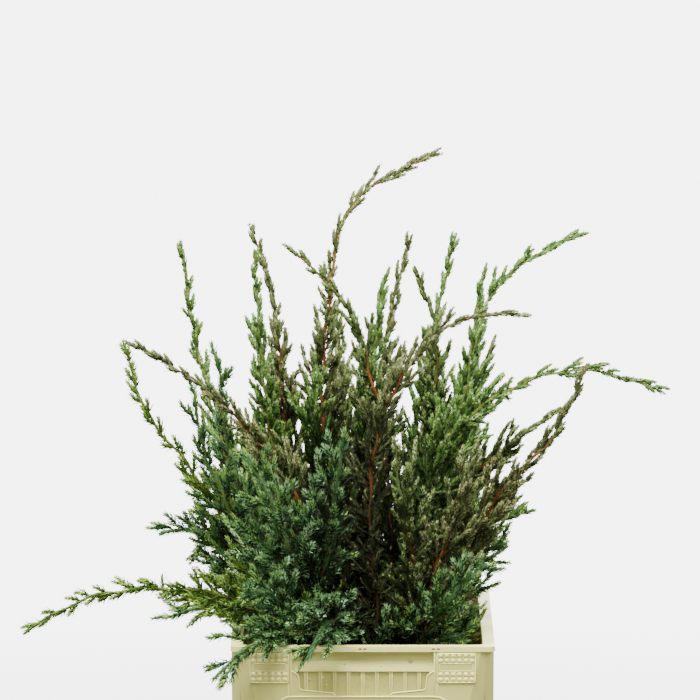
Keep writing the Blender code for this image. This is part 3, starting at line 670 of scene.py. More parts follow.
def bough_path(bough: Bough, count: int) -> Array:
    """From a foot on the bucket's floor to the fork, where the bough leans towards its first mass."""
    fork = np.array(bough.fork)
    foot = np.array((fork[0] * FOOT_SPREAD, fork[1] * FOOT_SPREAD, FLOOR + 1.5 * MM))
    lean = unit(unit(np.array(bough.masses[0].course[0]) - fork) + np.array((0.0, 0.0, KNEE_RISE)))
    knee = fork - lean * KNEE_SHARE * np.linalg.norm(fork - foot)
    share = np.linspace(0.0, 1.0, count)[:, None]
    return foot * (1 - share) ** 2 + 2 * knee * share * (1 - share) + fork * share**2


def stem_path(bough: Bough, order: int, count: int) -> Array:
    """A mass's stem, from inside its bough along its course, swaying a little from side to side.

    With d the distance along it and t the share of its points, the sway is
    amplitude sin(pi t) sin(2 pi d / length) one way, and a quarter of a wave later the other way.
    """
    limb = bough_path(bough, 61)
    down = unit(limb[-6] - limb[-1])
    origin = limb[-1] + down * order * SIDE_STEP
    path = smooth_path(np.array([origin, *bough.masses[order].course]), count)
    side, other = across(unit(np.gradient(path, axis=0)))
    along = np.concatenate(([0.0], np.cumsum(np.linalg.norm(np.diff(path, axis=0), axis=1))))
    phase = 2 * np.pi * along / WAVE[1] + 1.7 * order + 40.0 * bough.fork[0]
    size = (WAVE[0] * np.sin(np.pi * np.linspace(0.0, 1.0, count)) ** 0.7)[:, None]
    return path + size * (np.sin(phase)[:, None] * side + np.cos(0.8 * phase)[:, None] * other)


@dataclass
class Faces:
    """A mesh as whole arrays: points, triangles or quads of one size, and a slot for each face."""

    points: Array
    faces: Array
    slots: Array

    @staticmethod
    def joined(several: list["Faces"]) -> "Faces":
        """Returns the meshes as one."""
        starts = np.cumsum([0] + [len(one.points) for one in several[:-1]])
        return Faces(
            np.concatenate([one.points for one in several]),
            np.concatenate([one.faces + start for one, start in zip(several, starts)]),
            np.concatenate([one.slots for one in several]),
        )

    def parts(self, corners_a_group: int, faces_a_group: int) -> list["Faces"]:
        """Splits a mesh of equal groups into meshes under the most triangles a piece may have.

        Args:
            corners_a_group: Points of each group, which follow each other.
            faces_a_group: Faces of each group, which use only that group's points.

        Returns:
            The meshes in order.
        """
        groups = len(self.faces) // faces_a_group
        triangles = faces_a_group * (self.faces.shape[1] - 2)
        most = max(TRIANGLES_A_PIECE // triangles, 1)
        made = []
        for start in range(0, groups, most):
            end = min(start + most, groups)
            points = self.points[start * corners_a_group : end * corners_a_group]
            faces = self.faces[start * faces_a_group : end * faces_a_group] - start * corners_a_group
            made.append(Faces(points, faces, self.slots[start * faces_a_group : end * faces_a_group]))
        return made


def tubes(paths: Array, radii: Array, sides: int) -> Faces:
    """Tapering tubes along many paths at once, each closed by a short point at its end.

    Args:
        paths: Tubes by points by 3.
        radii: Tubes by points.
        sides: How many sides each tube has.

    Returns:
        One mesh of quads, group by group.
    """
    count, steps = radii.shape
    side, other = across(unit(np.gradient(paths, axis=1)))
    turn = 2 * np.pi * np.arange(sides) / sides
    spoke = np.cos(turn)[:, None] * side[:, :, None, :] + np.sin(turn)[:, None] * other[:, :, None, :]
    points = (paths[:, :, None, :] + radii[:, :, None, None] * spoke).reshape(-1, 3)
    ring = np.arange(sides)
    after = (ring + 1) % sides
    quad = np.stack((ring, after, after + sides, ring + sides), axis=-1)
    tube = (quad[None] + (np.arange(steps - 1) * sides)[:, None, None]).reshape(-1, 4)
    faces = (tube[None] + (np.arange(count) * steps * sides)[:, None, None]).reshape(-1, 4)
    return Faces(points, faces, np.zeros(len(faces), dtype=np.int32))


# Growth


@dataclass
class Shoots:
    """Many shoots as whole arrays: a shoot leaves its root along its heading and bends by its bend."""

    root: Array
    heading: Array
    bend: Array
    length: Array
    shade: Array  # which of its tint's colours its spray was dealt
    inner: Array  # 1 where the spray's inner faces are whitish, else 0
    spread: Array  # the needles' angle to the shoot, in radians
    bare: Array  # the share of the shoot, from its root, without needles
    youth: Array  # how near the tip of what bears it the shoot stands, from 0 to 1

    def __len__(self) -> int:
        return len(self.length)

    def at(self, index: Array, share: Array) -> tuple[Array, Array]:
        """Returns where each indexed shoot is at a share of its length, and its direction there."""
        s = share[:, None]
        length = self.length[index][:, None]
        place = self.root[index] + (self.heading[index] * s + self.bend[index] * s**2) * length
        return place, unit(self.heading[index] + 2 * self.bend[index] * s)

    def only(self, kept: Array) -> "Shoots":
        """Returns the shoots that the mask or index picks."""
        return Shoots(*(values[kept] for values in vars(self).values()))

    @staticmethod
    def joined(several: list["Shoots"]) -> "Shoots":
        """Returns all the shoots together."""
        return Shoots(*(np.concatenate(values) for values in zip(*(vars(s).values() for s in several))))


def in_bucket(places: Array, room: float) -> Array:
    """True for each place inside the bucket's plastic, or nearer to it than `room`."""
    x, y, z = np.abs(places[..., 0]), np.abs(places[..., 1]), places[..., 2]
    drop = np.maximum(BUCKET_HEIGHT - z, 0.0) * BODY_TAPER
    within = np.minimum(RIM_HALF[0] - RIM_WIDTH - drop - x, RIM_HALF[1] - RIM_WIDTH - drop - y)
    outside = np.maximum(x - RIM_HALF[0], y - RIM_HALF[1])
    return np.maximum(np.maximum(within, outside), z - BUCKET_HEIGHT) < room


def depth_in(places: Array, ball: Ball) -> Array:
    """How deep in a ball each place is: 1 at its centre, 0 outside."""
    apart = (places - np.array(ball[0])) / np.array(ball[1])
    return np.clip(1.0 - np.linalg.norm(apart, axis=-1), 0.0, 1.0)


class Grower:
    """Grows each mass by the part's rule: shoots from each side of the stem in turn, and so on."""

    def __init__(self, seed: int) -> None:
        self.chance = np.random.default_rng(seed)

    def deal(self, count: int, habit: Habit) -> tuple[Array, Array]:
        """Deals each spray one of its tint's three mature colours, and its inner faces."""
        shade = self.chance.choice(3, size=count, p=(0.40, 0.36, 0.24))
        return shade, (self.chance.uniform(size=count) < habit.glaucous).astype(int)

    def leave(self, root: Array, ahead: Array, turn: Array, splay: Array) -> Array:
        """The heading of shoots that leave `ahead` at an angle, turned about it, and lift a little.

        A turn of nothing looks out of the crown. Turns are drawn to a right angle from that, by
        turn + FLAT sin(2 turn), so that sprays are flat and their stems show.

        Args:
            root: Where each shoot leaves.
            ahead: The direction there of what bears it.
            turn: Its turn about that direction, in radians.
            splay: Its angle to that direction, in radians.

        Returns:
            A unit direction for each shoot.
        """
        look = (root - np.array(LOOK_FROM)) * np.array(LOOK_SHARES) + np.array(LOOK_UP)
        look = unit(look - np.einsum("ij,ij->i", look, ahead)[:, None] * ahead)
        side = np.cross(ahead, look)
        turn = turn + FLAT * np.sin(2 * turn)
        out = np.cos(turn)[:, None] * look + np.sin(turn)[:, None] * side
        heading = np.cos(splay)[:, None] * ahead + np.sin(splay)[:, None] * out
        return unit(heading + np.array((0.0, 0.0, LIFT)))

    def clear(self, shoots: Shoots) -> Shoots:
        """Shortens and turns up the shoots that would enter the bucket's wall, and drops what still does."""
        index = np.arange(len(shoots))
        for lift in (0.0, 0.0, 0.3, 0.7, 0.7):
            hit = np.zeros(len(shoots), dtype=bool)
            for share in (0.35, 0.7, 1.0):
                place, _ahead = shoots.at(index, np.full(len(shoots), share))
                hit |= in_bucket(place, 3.0 * MM)
            shoots.heading[hit] = unit(shoots.heading[hit] + np.array((0.0, 0.0, lift)))
            shoots.length[hit] *= 0.86
        hit |= in_bucket(shoots.root, 0.0)
        return shoots.only(~hit)

    def primaries(
        self, path: Array, habit: Habit, reach: float, step: float, least: float = 0.0, wild: float = 0.0
    ) -> Shoots:
        """The shoots that leave a stem: longest and widest near the root, short and close at the tip.

        A shoot's length is reach (last + (1 - last) fall full), with fall by the habit and full by
        how deep in the crown's body its root is. In the crown's dark middle the shoots stray more
        and are shorter, and those that would end in the cleft are cut back.

        Args:
            path: The stem's points.
            habit: How it carries its shoots.
            reach: The longest shoot.
            step: Between one shoot and the next near the root; they stand wider apart at the tip.
            least: The shortest shoot.
            wild: How far the shoots' directions stray from the rule, in radians.

        Returns:
            The shoots, clear of the bucket.
        """
        chance = self.chance
        reached = np.concatenate(([0.0], np.cumsum(np.linalg.norm(np.diff(path, axis=0), axis=1))))
        count = max(int(reached[-1] / step), 3)
        share = 0.01 + 0.97 * ((np.arange(count) + chance.uniform(0.2, 0.8, count)) / count) ** 1.15
        along = share * reached[-1]
        root = np.stack([np.interp(along, reached, path[:, k]) for k in range(3)], axis=-1)
        slope = np.gradient(path, axis=0)
        ahead = unit(np.stack([np.interp(along, reached, slope[:, k]) for k in range(3)], axis=-1))
        rank = (2 * np.arange(count)) % 3
        cramped = np.sqrt(depth_in(root, HOLLOW))
        stray = wild + 0.45 * cramped
        turn = math.pi / 3 * (1 + 2 * rank) + (0.45 + 2.0 * stray) * chance.normal(0.0, 1.0, count)
        opening = np.radians(np.interp(share**0.7, (0.0, 1.0), habit.splay))
        splay = opening + (0.12 + stray) * chance.normal(0.0, 1.0, count)
        heading = self.leave(root, ahead, turn, splay)
        strays = STRAY[1] * (chance.uniform(size=count) < STRAY[0])
        full = 0.16 + 2.6 * depth_in(root, BODY) + 0.7 * depth_in(root, APRON)
        fall = (1 - share**habit.fall) * np.clip(np.maximum(full, strays), 0.0, 1.0)
        last = habit.last / reach
        length = reach * (last + (1 - last) * fall) * chance.uniform(0.62, 1.08, count)
        length = np.maximum(length, least) * (1.0 - 0.30 * cramped * (root[:, 1] < -0.02))
        tip = root + heading * length[:, None]
        length = length * (1.0 - 0.85 * np.sqrt(depth_in(tip, CLEFT)))
        bend = (ahead - heading) * 0.30 + chance.normal(0.0, 0.05, (count, 3))
        spread = np.radians(habit.spread) * (1.0 - 0.16 * share)
        bare = np.where(length > 30 * MM, 0.13, 0.08)
        shade, inner = self.deal(count, habit)
        youth = np.full(count, 0.55)
        return self.clear(Shoots(root, heading, bend, length, shade, inner, spread, bare, youth))

    def offshoots(self, parents: Shoots, habit: Habit) -> Shoots:
        """The shoots of the next order.

        Args:
            parents: The shoots that bear them.
            habit: How they stand on those and carry their needles.

        Returns:
            The offshoots of all the parents together.
        """
        chance = self.chance
        counts = np.maximum((parents.length * 0.82 / habit.steps[1]).astype(int), 0)
        index = np.repeat(np.arange(len(parents)), counts)
        order = np.arange(len(index)) - np.repeat(np.cumsum(counts) - counts, counts)
        share = 0.14 + 0.78 * (order + chance.uniform(0.2, 0.8, len(index))) / counts[index]
        root, ahead = parents.at(index, share)
        turn = order * 2.4 + index * 1.7 + chance.normal(0.0, 0.3, len(index))
        splay = np.radians(np.interp(share, (0.0, 1.0), habit.hug)) + chance.normal(0.0, 0.12, len(index))
        heading = self.leave(root, ahead, turn, splay)
        length = parents.length[index] * (0.52 - 0.30 * share) * chance.uniform(0.7, 1.3, len(index))
        length = np.clip(length, *habit.offshoot)
        bend = (ahead - heading) * 0.35 + chance.normal(0.0, 0.06, (len(index), 3))
        strays = chance.uniform(size=len(index)) < 0.22
        shade, inner = self.deal(len(index), habit)
        shade = np.where(strays, shade, parents.shade[index])
        inner = np.where(strays, inner, parents.inner[index])
        bare = np.full(len(index), 0.04)
        return Shoots(root, heading, bend, length, shade, inner, parents.spread[index], bare, share)

    def along_stem(self, path: Array, habit: Habit) -> Shoots:
        """Short straight shoots end to end along the leafy parts of a stem, which carry its needles."""
        share = np.linspace(0.0, 1.0, len(path) - 1)
        leafy = (share < FOOT_SHARE) | (share > habit.clad)
        step = np.diff(path, axis=0)[leafy]
        count = len(step)
        shade, inner = self.deal(1, habit)
        spread = np.full(count, math.radians(habit.spread * 0.5))
        return Shoots(
            path[:-1][leafy],
            unit(step),
            np.zeros((count, 3)),
            np.linalg.norm(step, axis=1),
            np.repeat(shade, count),
            np.repeat(inner, count),
            spread,
            np.zeros(count),
            np.full(count, 0.5),
        )

    def tip(self, path: Array, habit: Habit) -> Shoots:
        """The stem's own end: one shoot that goes on from it and nods a little."""
        heading = unit(path[-1] - path[-3])
        return Shoots(
            path[-2][None],
            heading[None],
            np.array([[0.0, 0.0, -0.08]]),
            np.array([float(np.linalg.norm(path[-1] - path[-2])) + 4 * MM]),
            np.array([0]),
            np.array([0]),
            np.array([math.radians(habit.spread * 0.45)]),
            np.zeros(1),
            np.ones(1),
        )


def needles(shoots: Shoots, habit: Habit, chance: np.random.Generator) -> Faces:
    """Every needle of the given shoots, in whorls of three.

    A needle is an awl of four triangles: its inner face looks to the shoot's tip, its two outer
    faces meet in a keel, and the last closes its foot. With s the share of the shoot's length, the
    angle to the shoot is spread (0.7 + 0.5 sin(pi sqrt(s))) (1 - closing s^3). The colours go from
    the shaded foot of a shoot over its spray's mature colour to that spray's young tip.
    """
    leafy = shoots.length * (1.0 - shoots.bare)
    counts = np.maximum(np.round(leafy / habit.whorl).astype(int), 2)
    index = np.repeat(np.arange(len(shoots)), counts * 3)
    order = np.arange(len(index)) - np.repeat((np.cumsum(counts) - counts) * 3, counts * 3)
    whorl = order // 3
    bare = shoots.bare[index]
    share = bare + (1.0 - bare) * (whorl + chance.uniform(0.3, 0.9, len(index))) / counts[index]
    foot, ahead = shoots.at(index, share)
    side, other = across(ahead)
    turn = 2 * np.pi / 3 * (order % 3) + np.pi / 3 * (whorl % 2) + chance.normal(0.0, 0.22, len(index))
    out = np.cos(turn)[:, None] * side + np.sin(turn)[:, None] * other
    swell = 0.7 + 0.5 * np.sin(np.pi * np.sqrt(share))
    spread = shoots.spread[index] * swell * (1.0 - habit.closing * share**3)
    spread = spread + chance.normal(0.0, 0.09, len(index))
    along = np.cos(spread)[:, None] * ahead + np.sin(spread)[:, None] * out
    size = habit.needle * (1.0 - 0.55 * share**3) * chance.uniform(0.80, 1.12, len(index))
    foot = foot + out * 0.5 * MM
    wide = unit(np.cross(along, out)) * (habit.width * 0.5)
    keel = unit(np.cross(wide, along)) * (habit.width * 0.42)
    keel = keel * np.sign(np.einsum("ij,ij->i", keel, ahead - along))[:, None] * -1.0
    centre = foot + along * size[:, None] * 0.24
    tip = foot + along * size[:, None]
    kept = ~(in_bucket(tip, 0.4 * MM) | in_bucket(centre, 0.6 * MM))
    corners = np.stack((centre - wide, centre + wide, centre + keel, tip), axis=1)[kept]
    back, inner = needle_slots(shoots, index[kept], share[kept], tip[kept], chance)
    starts = np.arange(len(corners))[:, None, None] * 4
    faces = starts + np.array(((0, 1, 3), (1, 2, 3), (2, 0, 3), (0, 2, 1)))
    slots = np.stack((inner, back, back, back), axis=1)
    return Faces(corners.reshape(-1, 3), faces.reshape(-1, 3), slots.reshape(-1).astype(np.int32))


def needle_slots(
    shoots: Shoots, index: Array, share: Array, places: Array, chance: np.random.Generator
) -> tuple[Array, Array]:
    """The slots of needles' backs and inner faces.

    A shoot's needles have painted shade at its foot, its spray's mature colour after it and its young
    one to the tip. Both borders stand farther out deep in the crown, which paints more shade there, and
    on shoots near the foot of what bears them, and each shoot's own mood shifts them. In the dark
    middle more and more shoots are old and shaded: some needles are old and brown, the others take
    the foot's dark colour as painted shade.

    Args:
        shoots: The shoots that carry them.
        index: Each needle's shoot.
        share: How far along that shoot it stands.
        places: Where its tip is.
        chance: The source of luck.

    Returns:
        A slot for each needle's back and one for its inner face.
    """
    luck = chance.uniform(size=len(share))
    mood = chance.uniform(size=len(shoots))
    middle, _ahead = shoots.at(np.arange(len(shoots)), np.full(len(shoots), 0.5))
    old_and_shaded = mood < 6.5 * depth_in(middle, HOLLOW)
    shade = shoots.shade[index]
    shaded = np.clip(3.0 * depth_in(places, BODY), 0.0, 1.0)
    late = 0.40 * (mood[index] - 0.45) + 0.10 * (luck - 0.5)
    elder = 1.0 - shoots.youth[index]
    foot_end = 0.06 + 0.24 * shaded + 0.26 * elder + 0.7 * late
    young_start = 0.42 + 0.20 * shaded + 0.26 * elder + late
    own = shoots.length[index] < STEM_STEP
    foot_end = np.where(own, 0.0, foot_end)
    young_start = np.where(own, 1.0, young_start)
    back = np.where(share < foot_end, Slot.FOOT, Slot.MATURE + shade)
    back = np.where(share > young_start, Slot.YOUNG + shade, back)
    inner = np.where(shoots.inner[index] == 1, Slot.WHITISH, Slot.INNER)
    inner = np.where(share < foot_end, back, inner)
    # painted shade: most needles of these shoots take the foot's dark colour, a few are old and brown
    dim = old_and_shaded[index] & (luck < 0.88)
    bare_foot = (share < 0.28) & (shoots.length[index] > 40 * MM) & (luck < 0.55)
    old = bare_foot | (dim & (luck < 0.28))
    back = np.where(old, Slot.OLD, np.where(dim, Slot.FOOT, back))
    inner = np.where(old, Slot.OLD, np.where(dim, Slot.FOOT, inner))
    return back, inner


def twigs(shoots: Shoots, steps: int, radius: float) -> Faces:
    """The shoots' own wood as three-sided tubes, which their hearts hide after the first third."""
    share = np.linspace(0.0, 0.4, steps)
    index = np.repeat(np.arange(len(shoots)), steps)
    place, _ = shoots.at(index, np.tile(share, len(shoots)))
    thick = radius * np.clip(shoots.length / (60 * MM), 0.6, 1.1)
    radii = thick[:, None] * (1.0 - share)[None, :]
    return tubes(place.reshape(len(shoots), steps, 3), radii, 3)


def hearts(shoots: Shoots, habit: Habit) -> Faces:
    """The shaded heart of each leafy shoot: a slim blunt spindle under its needles."""
    profile = np.array(((0.02, 0.40), (0.30, 1.0), (0.86, 0.88), (1.04, 0.04)))
    share = shoots.bare[:, None] + (1.0 - shoots.bare)[:, None] * profile[None, :, 0]
    index = np.repeat(np.arange(len(shoots)), len(profile))
    place, _ = shoots.at(index, share.reshape(-1))
    size = habit.core * np.clip(0.66 + shoots.length / (60 * MM), 0.8, 1.0)
    return tubes(place.reshape(len(shoots), len(profile), 3), size[:, None] * profile[None, :, 1], 3)


# Pieces


WOODS = (
    BarkFinish("green_twig", (0.260, 0.215, 0.030), (0.140, 0.130, 0.020), 0.45),
    BarkFinish("red_twig", (0.250, 0.084, 0.018), (0.130, 0.038, 0.008), 0.45),
)
BARK = BarkFinish("bark", (0.150, 0.070, 0.032), (0.050, 0.022, 0.012), 0.66)


def new_piece(name: str, mesh: Faces, materials: list[bpy.types.Material], smooth: bool) -> bpy.types.Object:
    """Makes an object from whole arrays, which rides on the part's one body.

    Args:
        name: The piece's name.
        mesh: Its points, faces and slots.
        materials: One for each slot number that the faces use.
        smooth: Whether its faces are shaded smooth.

    Returns:
        The object, at the origin.
    """
    data = bpy.data.meshes.new(name)
    corners = mesh.faces.shape[1]
    data.vertices.add(len(mesh.points))
    data.vertices.foreach_set("co", mesh.points.astype(np.float32).ravel())
    data.loops.add(mesh.faces.size)
    data.loops.foreach_set("vertex_index", mesh.faces.astype(np.int32).ravel())
    data.polygons.add(len(mesh.faces))
    data.polygons.foreach_set("loop_start", np.arange(len(mesh.faces), dtype=np.int32) * corners)
    data.polygons.foreach_set("material_index", mesh.slots)
    data.polygons.foreach_set("use_smooth", np.full(len(mesh.faces), smooth))
    data.update(calc_edges=True)
    for material in materials:
        data.materials.append(material)
    made = bpy.data.objects.new(name, data)
    bpy.context.scene.collection.objects.link(made)
    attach(made, "root")
    LOG.info("%s: %d triangles", name, (corners - 2) * len(mesh.faces))
    return made


@dataclass(frozen=True)
class Crown:
    """All the foliage, joined by tint into needles and hearts and by wood into twigs.

    Besides each mass's own shoots there are collars of shoots below the forks, and sparse shoots
    that fill the crown about the first part of each stem.
    """

    grower: Grower
    stem_steps: int = 60
    collar_start: int = 40  # the point, of 61 along a bough, from which it bears shoots of its own
    collar_reach: float = 94 * MM
    collar_least: float = 40 * MM
    collar_step: float = 5.0 * MM
    sparse_reach: float = 56 * MM
    sparse_step: float = 4.6 * MM
    sparse_shares: tuple[float, float] = (0.50, 0.66)  # of the stem, on outer boughs and on middle ones
    sparse_whorl: float = 1.8  # how much wider apart their whorls stand
    sparse_core: float = 2.2 * MM
    sparse_spread: float = 46.0  # the angle between needle and shoot, in degrees
    middle: float = 60 * MM  # middle boughs fork nearer than this to the middle plane
    needles: dict[Tint, list[Faces]] = field(default_factory=lambda: {tint: [] for tint in Tint})
    hearts: dict[Tint, list[Faces]] = field(default_factory=lambda: {tint: [] for tint in Tint})
    wood: dict[str, list[Faces]] = field(default_factory=lambda: {bark.name: [] for bark in WOODS})
    nodes: dict[Tint, list[str]] = field(default_factory=lambda: {tint: [] for tint in Tint})

    def add(self, tint: Tint, habit: Habit, carried: list[Shoots], wooded: list[Shoots]) -> None:
        """Adds the needles of some shoots, and the hearts and the wood of some of them.

        Args:
            tint: The tint they have.
            habit: How they grow.
            carried: The shoots that bear needles.
            wooded: Those with a heart; of the first batch the long ones show their wood.
        """
        self.needles[tint].append(needles(Shoots.joined(carried), habit, self.grower.chance))
        self.hearts[tint].append(hearts(Shoots.joined(wooded), habit))
        first = wooded[0]
        self.wood[habit.wood].append(twigs(first.only(first.length > LONG), 3, SHOOT_RADIUS))

    def grow(self, bough: Bough, order: int) -> None:
        """Grows one mass, its stem and the sparse shoots about the first part of that."""
        mass = bough.masses[order]
        habit = HABITS[mass.tint]
        path = stem_path(bough, order, self.stem_steps)
        primaries = self.grower.primaries(path, habit, mass.reach, habit.steps[0])
        long = primaries.only(primaries.length > LONG)
        seconds = self.grower.clear(self.grower.offshoots(long, habit))
        self.grow_sparse(bough, mass.tint, path)
        carried = [primaries, seconds, self.grower.along_stem(path, habit), self.grower.tip(path, habit)]
        self.add(mass.tint, habit, carried, [primaries, seconds])
        radii = np.linspace(*STEM_RADIUS, len(path))
        turn = int(len(path) * habit.clad)
        self.wood["red_twig"].append(tubes(path[None, : turn + 1], radii[None, : turn + 1], 8))
        self.wood[habit.wood].append(tubes(path[None, turn:], radii[None, turn:], 6))
        self.nodes[mass.tint].append(f"foliage_{bough.name}_{mass.name}")

    def grow_sparse(self, bough: Bough, tint: Tint, path: Array) -> None:
        """Grows the sparse shoots of one stem, farther along it on the middle boughs."""
        share = self.sparse_shares[int(abs(bough.fork[0]) < self.middle)]
        habit = HABITS[tint]
        whorl = self.sparse_whorl * habit.whorl
        habit = replace(
            habit, whorl=whorl, core=self.sparse_core, spread=self.sparse_spread, splay=INNER_SPLAY
        )
        first = path[: int(len(path) * share)]
        grown = self.grower.primaries(first, habit, self.sparse_reach, self.sparse_step, wild=INNER_WILD)
        self.add(tint, habit, [grown], [grown])

    def grow_collar(self, bough: Bough) -> None:
        """Grows the shoots that a bough bears just below its fork."""
        tint = COLLAR_TINTS.get(bough.name, bough.masses[-1].tint)
        limb = bough_path(bough, 61)[self.collar_start :]
        habit = replace(HABITS[tint], splay=INNER_SPLAY)
        reach, step, least = self.collar_reach, self.collar_step, self.collar_least
        primaries = self.grower.primaries(limb, habit, reach, step, least, INNER_WILD)
        seconds = self.grower.clear(self.grower.offshoots(primaries, habit))
        self.add(tint, habit, [primaries, seconds], [primaries, seconds])

    def make(self) -> int:
        """Makes the pieces and returns their triangles."""
        total = 0
        for tint, grown in self.needles.items():
            materials = NEEDLES[tint].make(tint)
            for number, part in enumerate(Faces.joined(grown).parts(4, 4)):
                piece = new_piece(f"needles_{tint.value}_{number}", part, materials, smooth=False)
                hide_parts(*self.nodes[tint])
                total += len(part.faces)
        for tint, grown in self.hearts.items():
            material = NEEDLES[tint].heart(tint)
            piece = new_piece(f"shoots_{tint.value}", Faces.joined(grown), [material], smooth=True)
            total += 2 * len(piece.data.polygons)
        for finish in WOODS:
            whole = Faces.joined(self.wood[finish.name])
            most = TRIANGLES_A_PIECE // 2
            for number, start in enumerate(range(0, len(whole.faces), most)):
                faces = whole.faces[start : start + most]
                used, packed = np.unique(faces, return_inverse=True)
                slots = whole.slots[start : start + most]
                part = Faces(whole.points[used], packed.reshape(faces.shape), slots)
                piece = new_piece(f"{finish.name}s_{number}", part, [finish.make()], smooth=True)
                total += 2 * len(faces)
        return total


@dataclass(frozen=True)
class Limbs:
    """The boughs, with the bark's relief."""

    steps: int = 72
    sides: int = 14
    radii: tuple[float, float] = (FOOT_RADIUS * 0.94, FORK_RADIUS * 0.94)
    ridges: tuple[float, float] = (0.050, 0.035)  # five broad and nine narrow, as shares of the radius
    knot: float = 0.060
    grain: float = 0.012
    finish: BarkFinish = BARK

    def surface(self, chance: np.random.Generator) -> Faces:
        """The boughs' tubes, each point moved out by shallow ridges, knots and grain.

        With t the turn about the bough, s the share along it and p each bough's own phase, the
        radius grows by a sin(5t + 4s + p) + b sin(9t - 17s + 2p) + knot sin(60s + p)^8 and some luck.
        """
        paths = np.stack([bough_path(bough, self.steps) for bough in BOUGHS])
        radii = np.broadcast_to(np.linspace(*self.radii, self.steps), paths.shape[:2])
        mesh = tubes(paths, radii, self.sides)
        rings = mesh.points.reshape(len(BOUGHS), self.steps, self.sides, 3)
        phase = chance.uniform(0.0, 2 * np.pi, (len(BOUGHS), 1, 1))
        turn = (2 * np.pi * np.arange(self.sides) / self.sides)[None, None, :]
        along = np.linspace(0.0, 1.0, self.steps)[None, :, None]
        relief = self.ridges[0] * np.sin(5 * turn + 4 * along + phase)
        relief = relief + self.ridges[1] * np.sin(9 * turn - 17 * along + 2 * phase)
        relief = relief + self.knot * np.sin(60 * along + phase) ** 8
        relief = relief + chance.normal(0.0, self.grain, rings.shape[:3])
        rings = paths[:, :, None, :] + (rings - paths[:, :, None, :]) * (1.0 + relief[..., None])
        return Faces(rings.reshape(-1, 3), mesh.faces, mesh.slots)

    def make(self, chance: np.random.Generator) -> int:
        """Makes the one piece and returns its triangles."""
        mesh = self.surface(chance)
        piece = new_piece("boughs_bark", mesh, [self.finish.make()], smooth=True)
        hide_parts(*("bough_" + bough.name for bough in BOUGHS))
        return 2 * len(mesh.faces)


# Bucket


Line = tuple[tuple[float, float], ...]


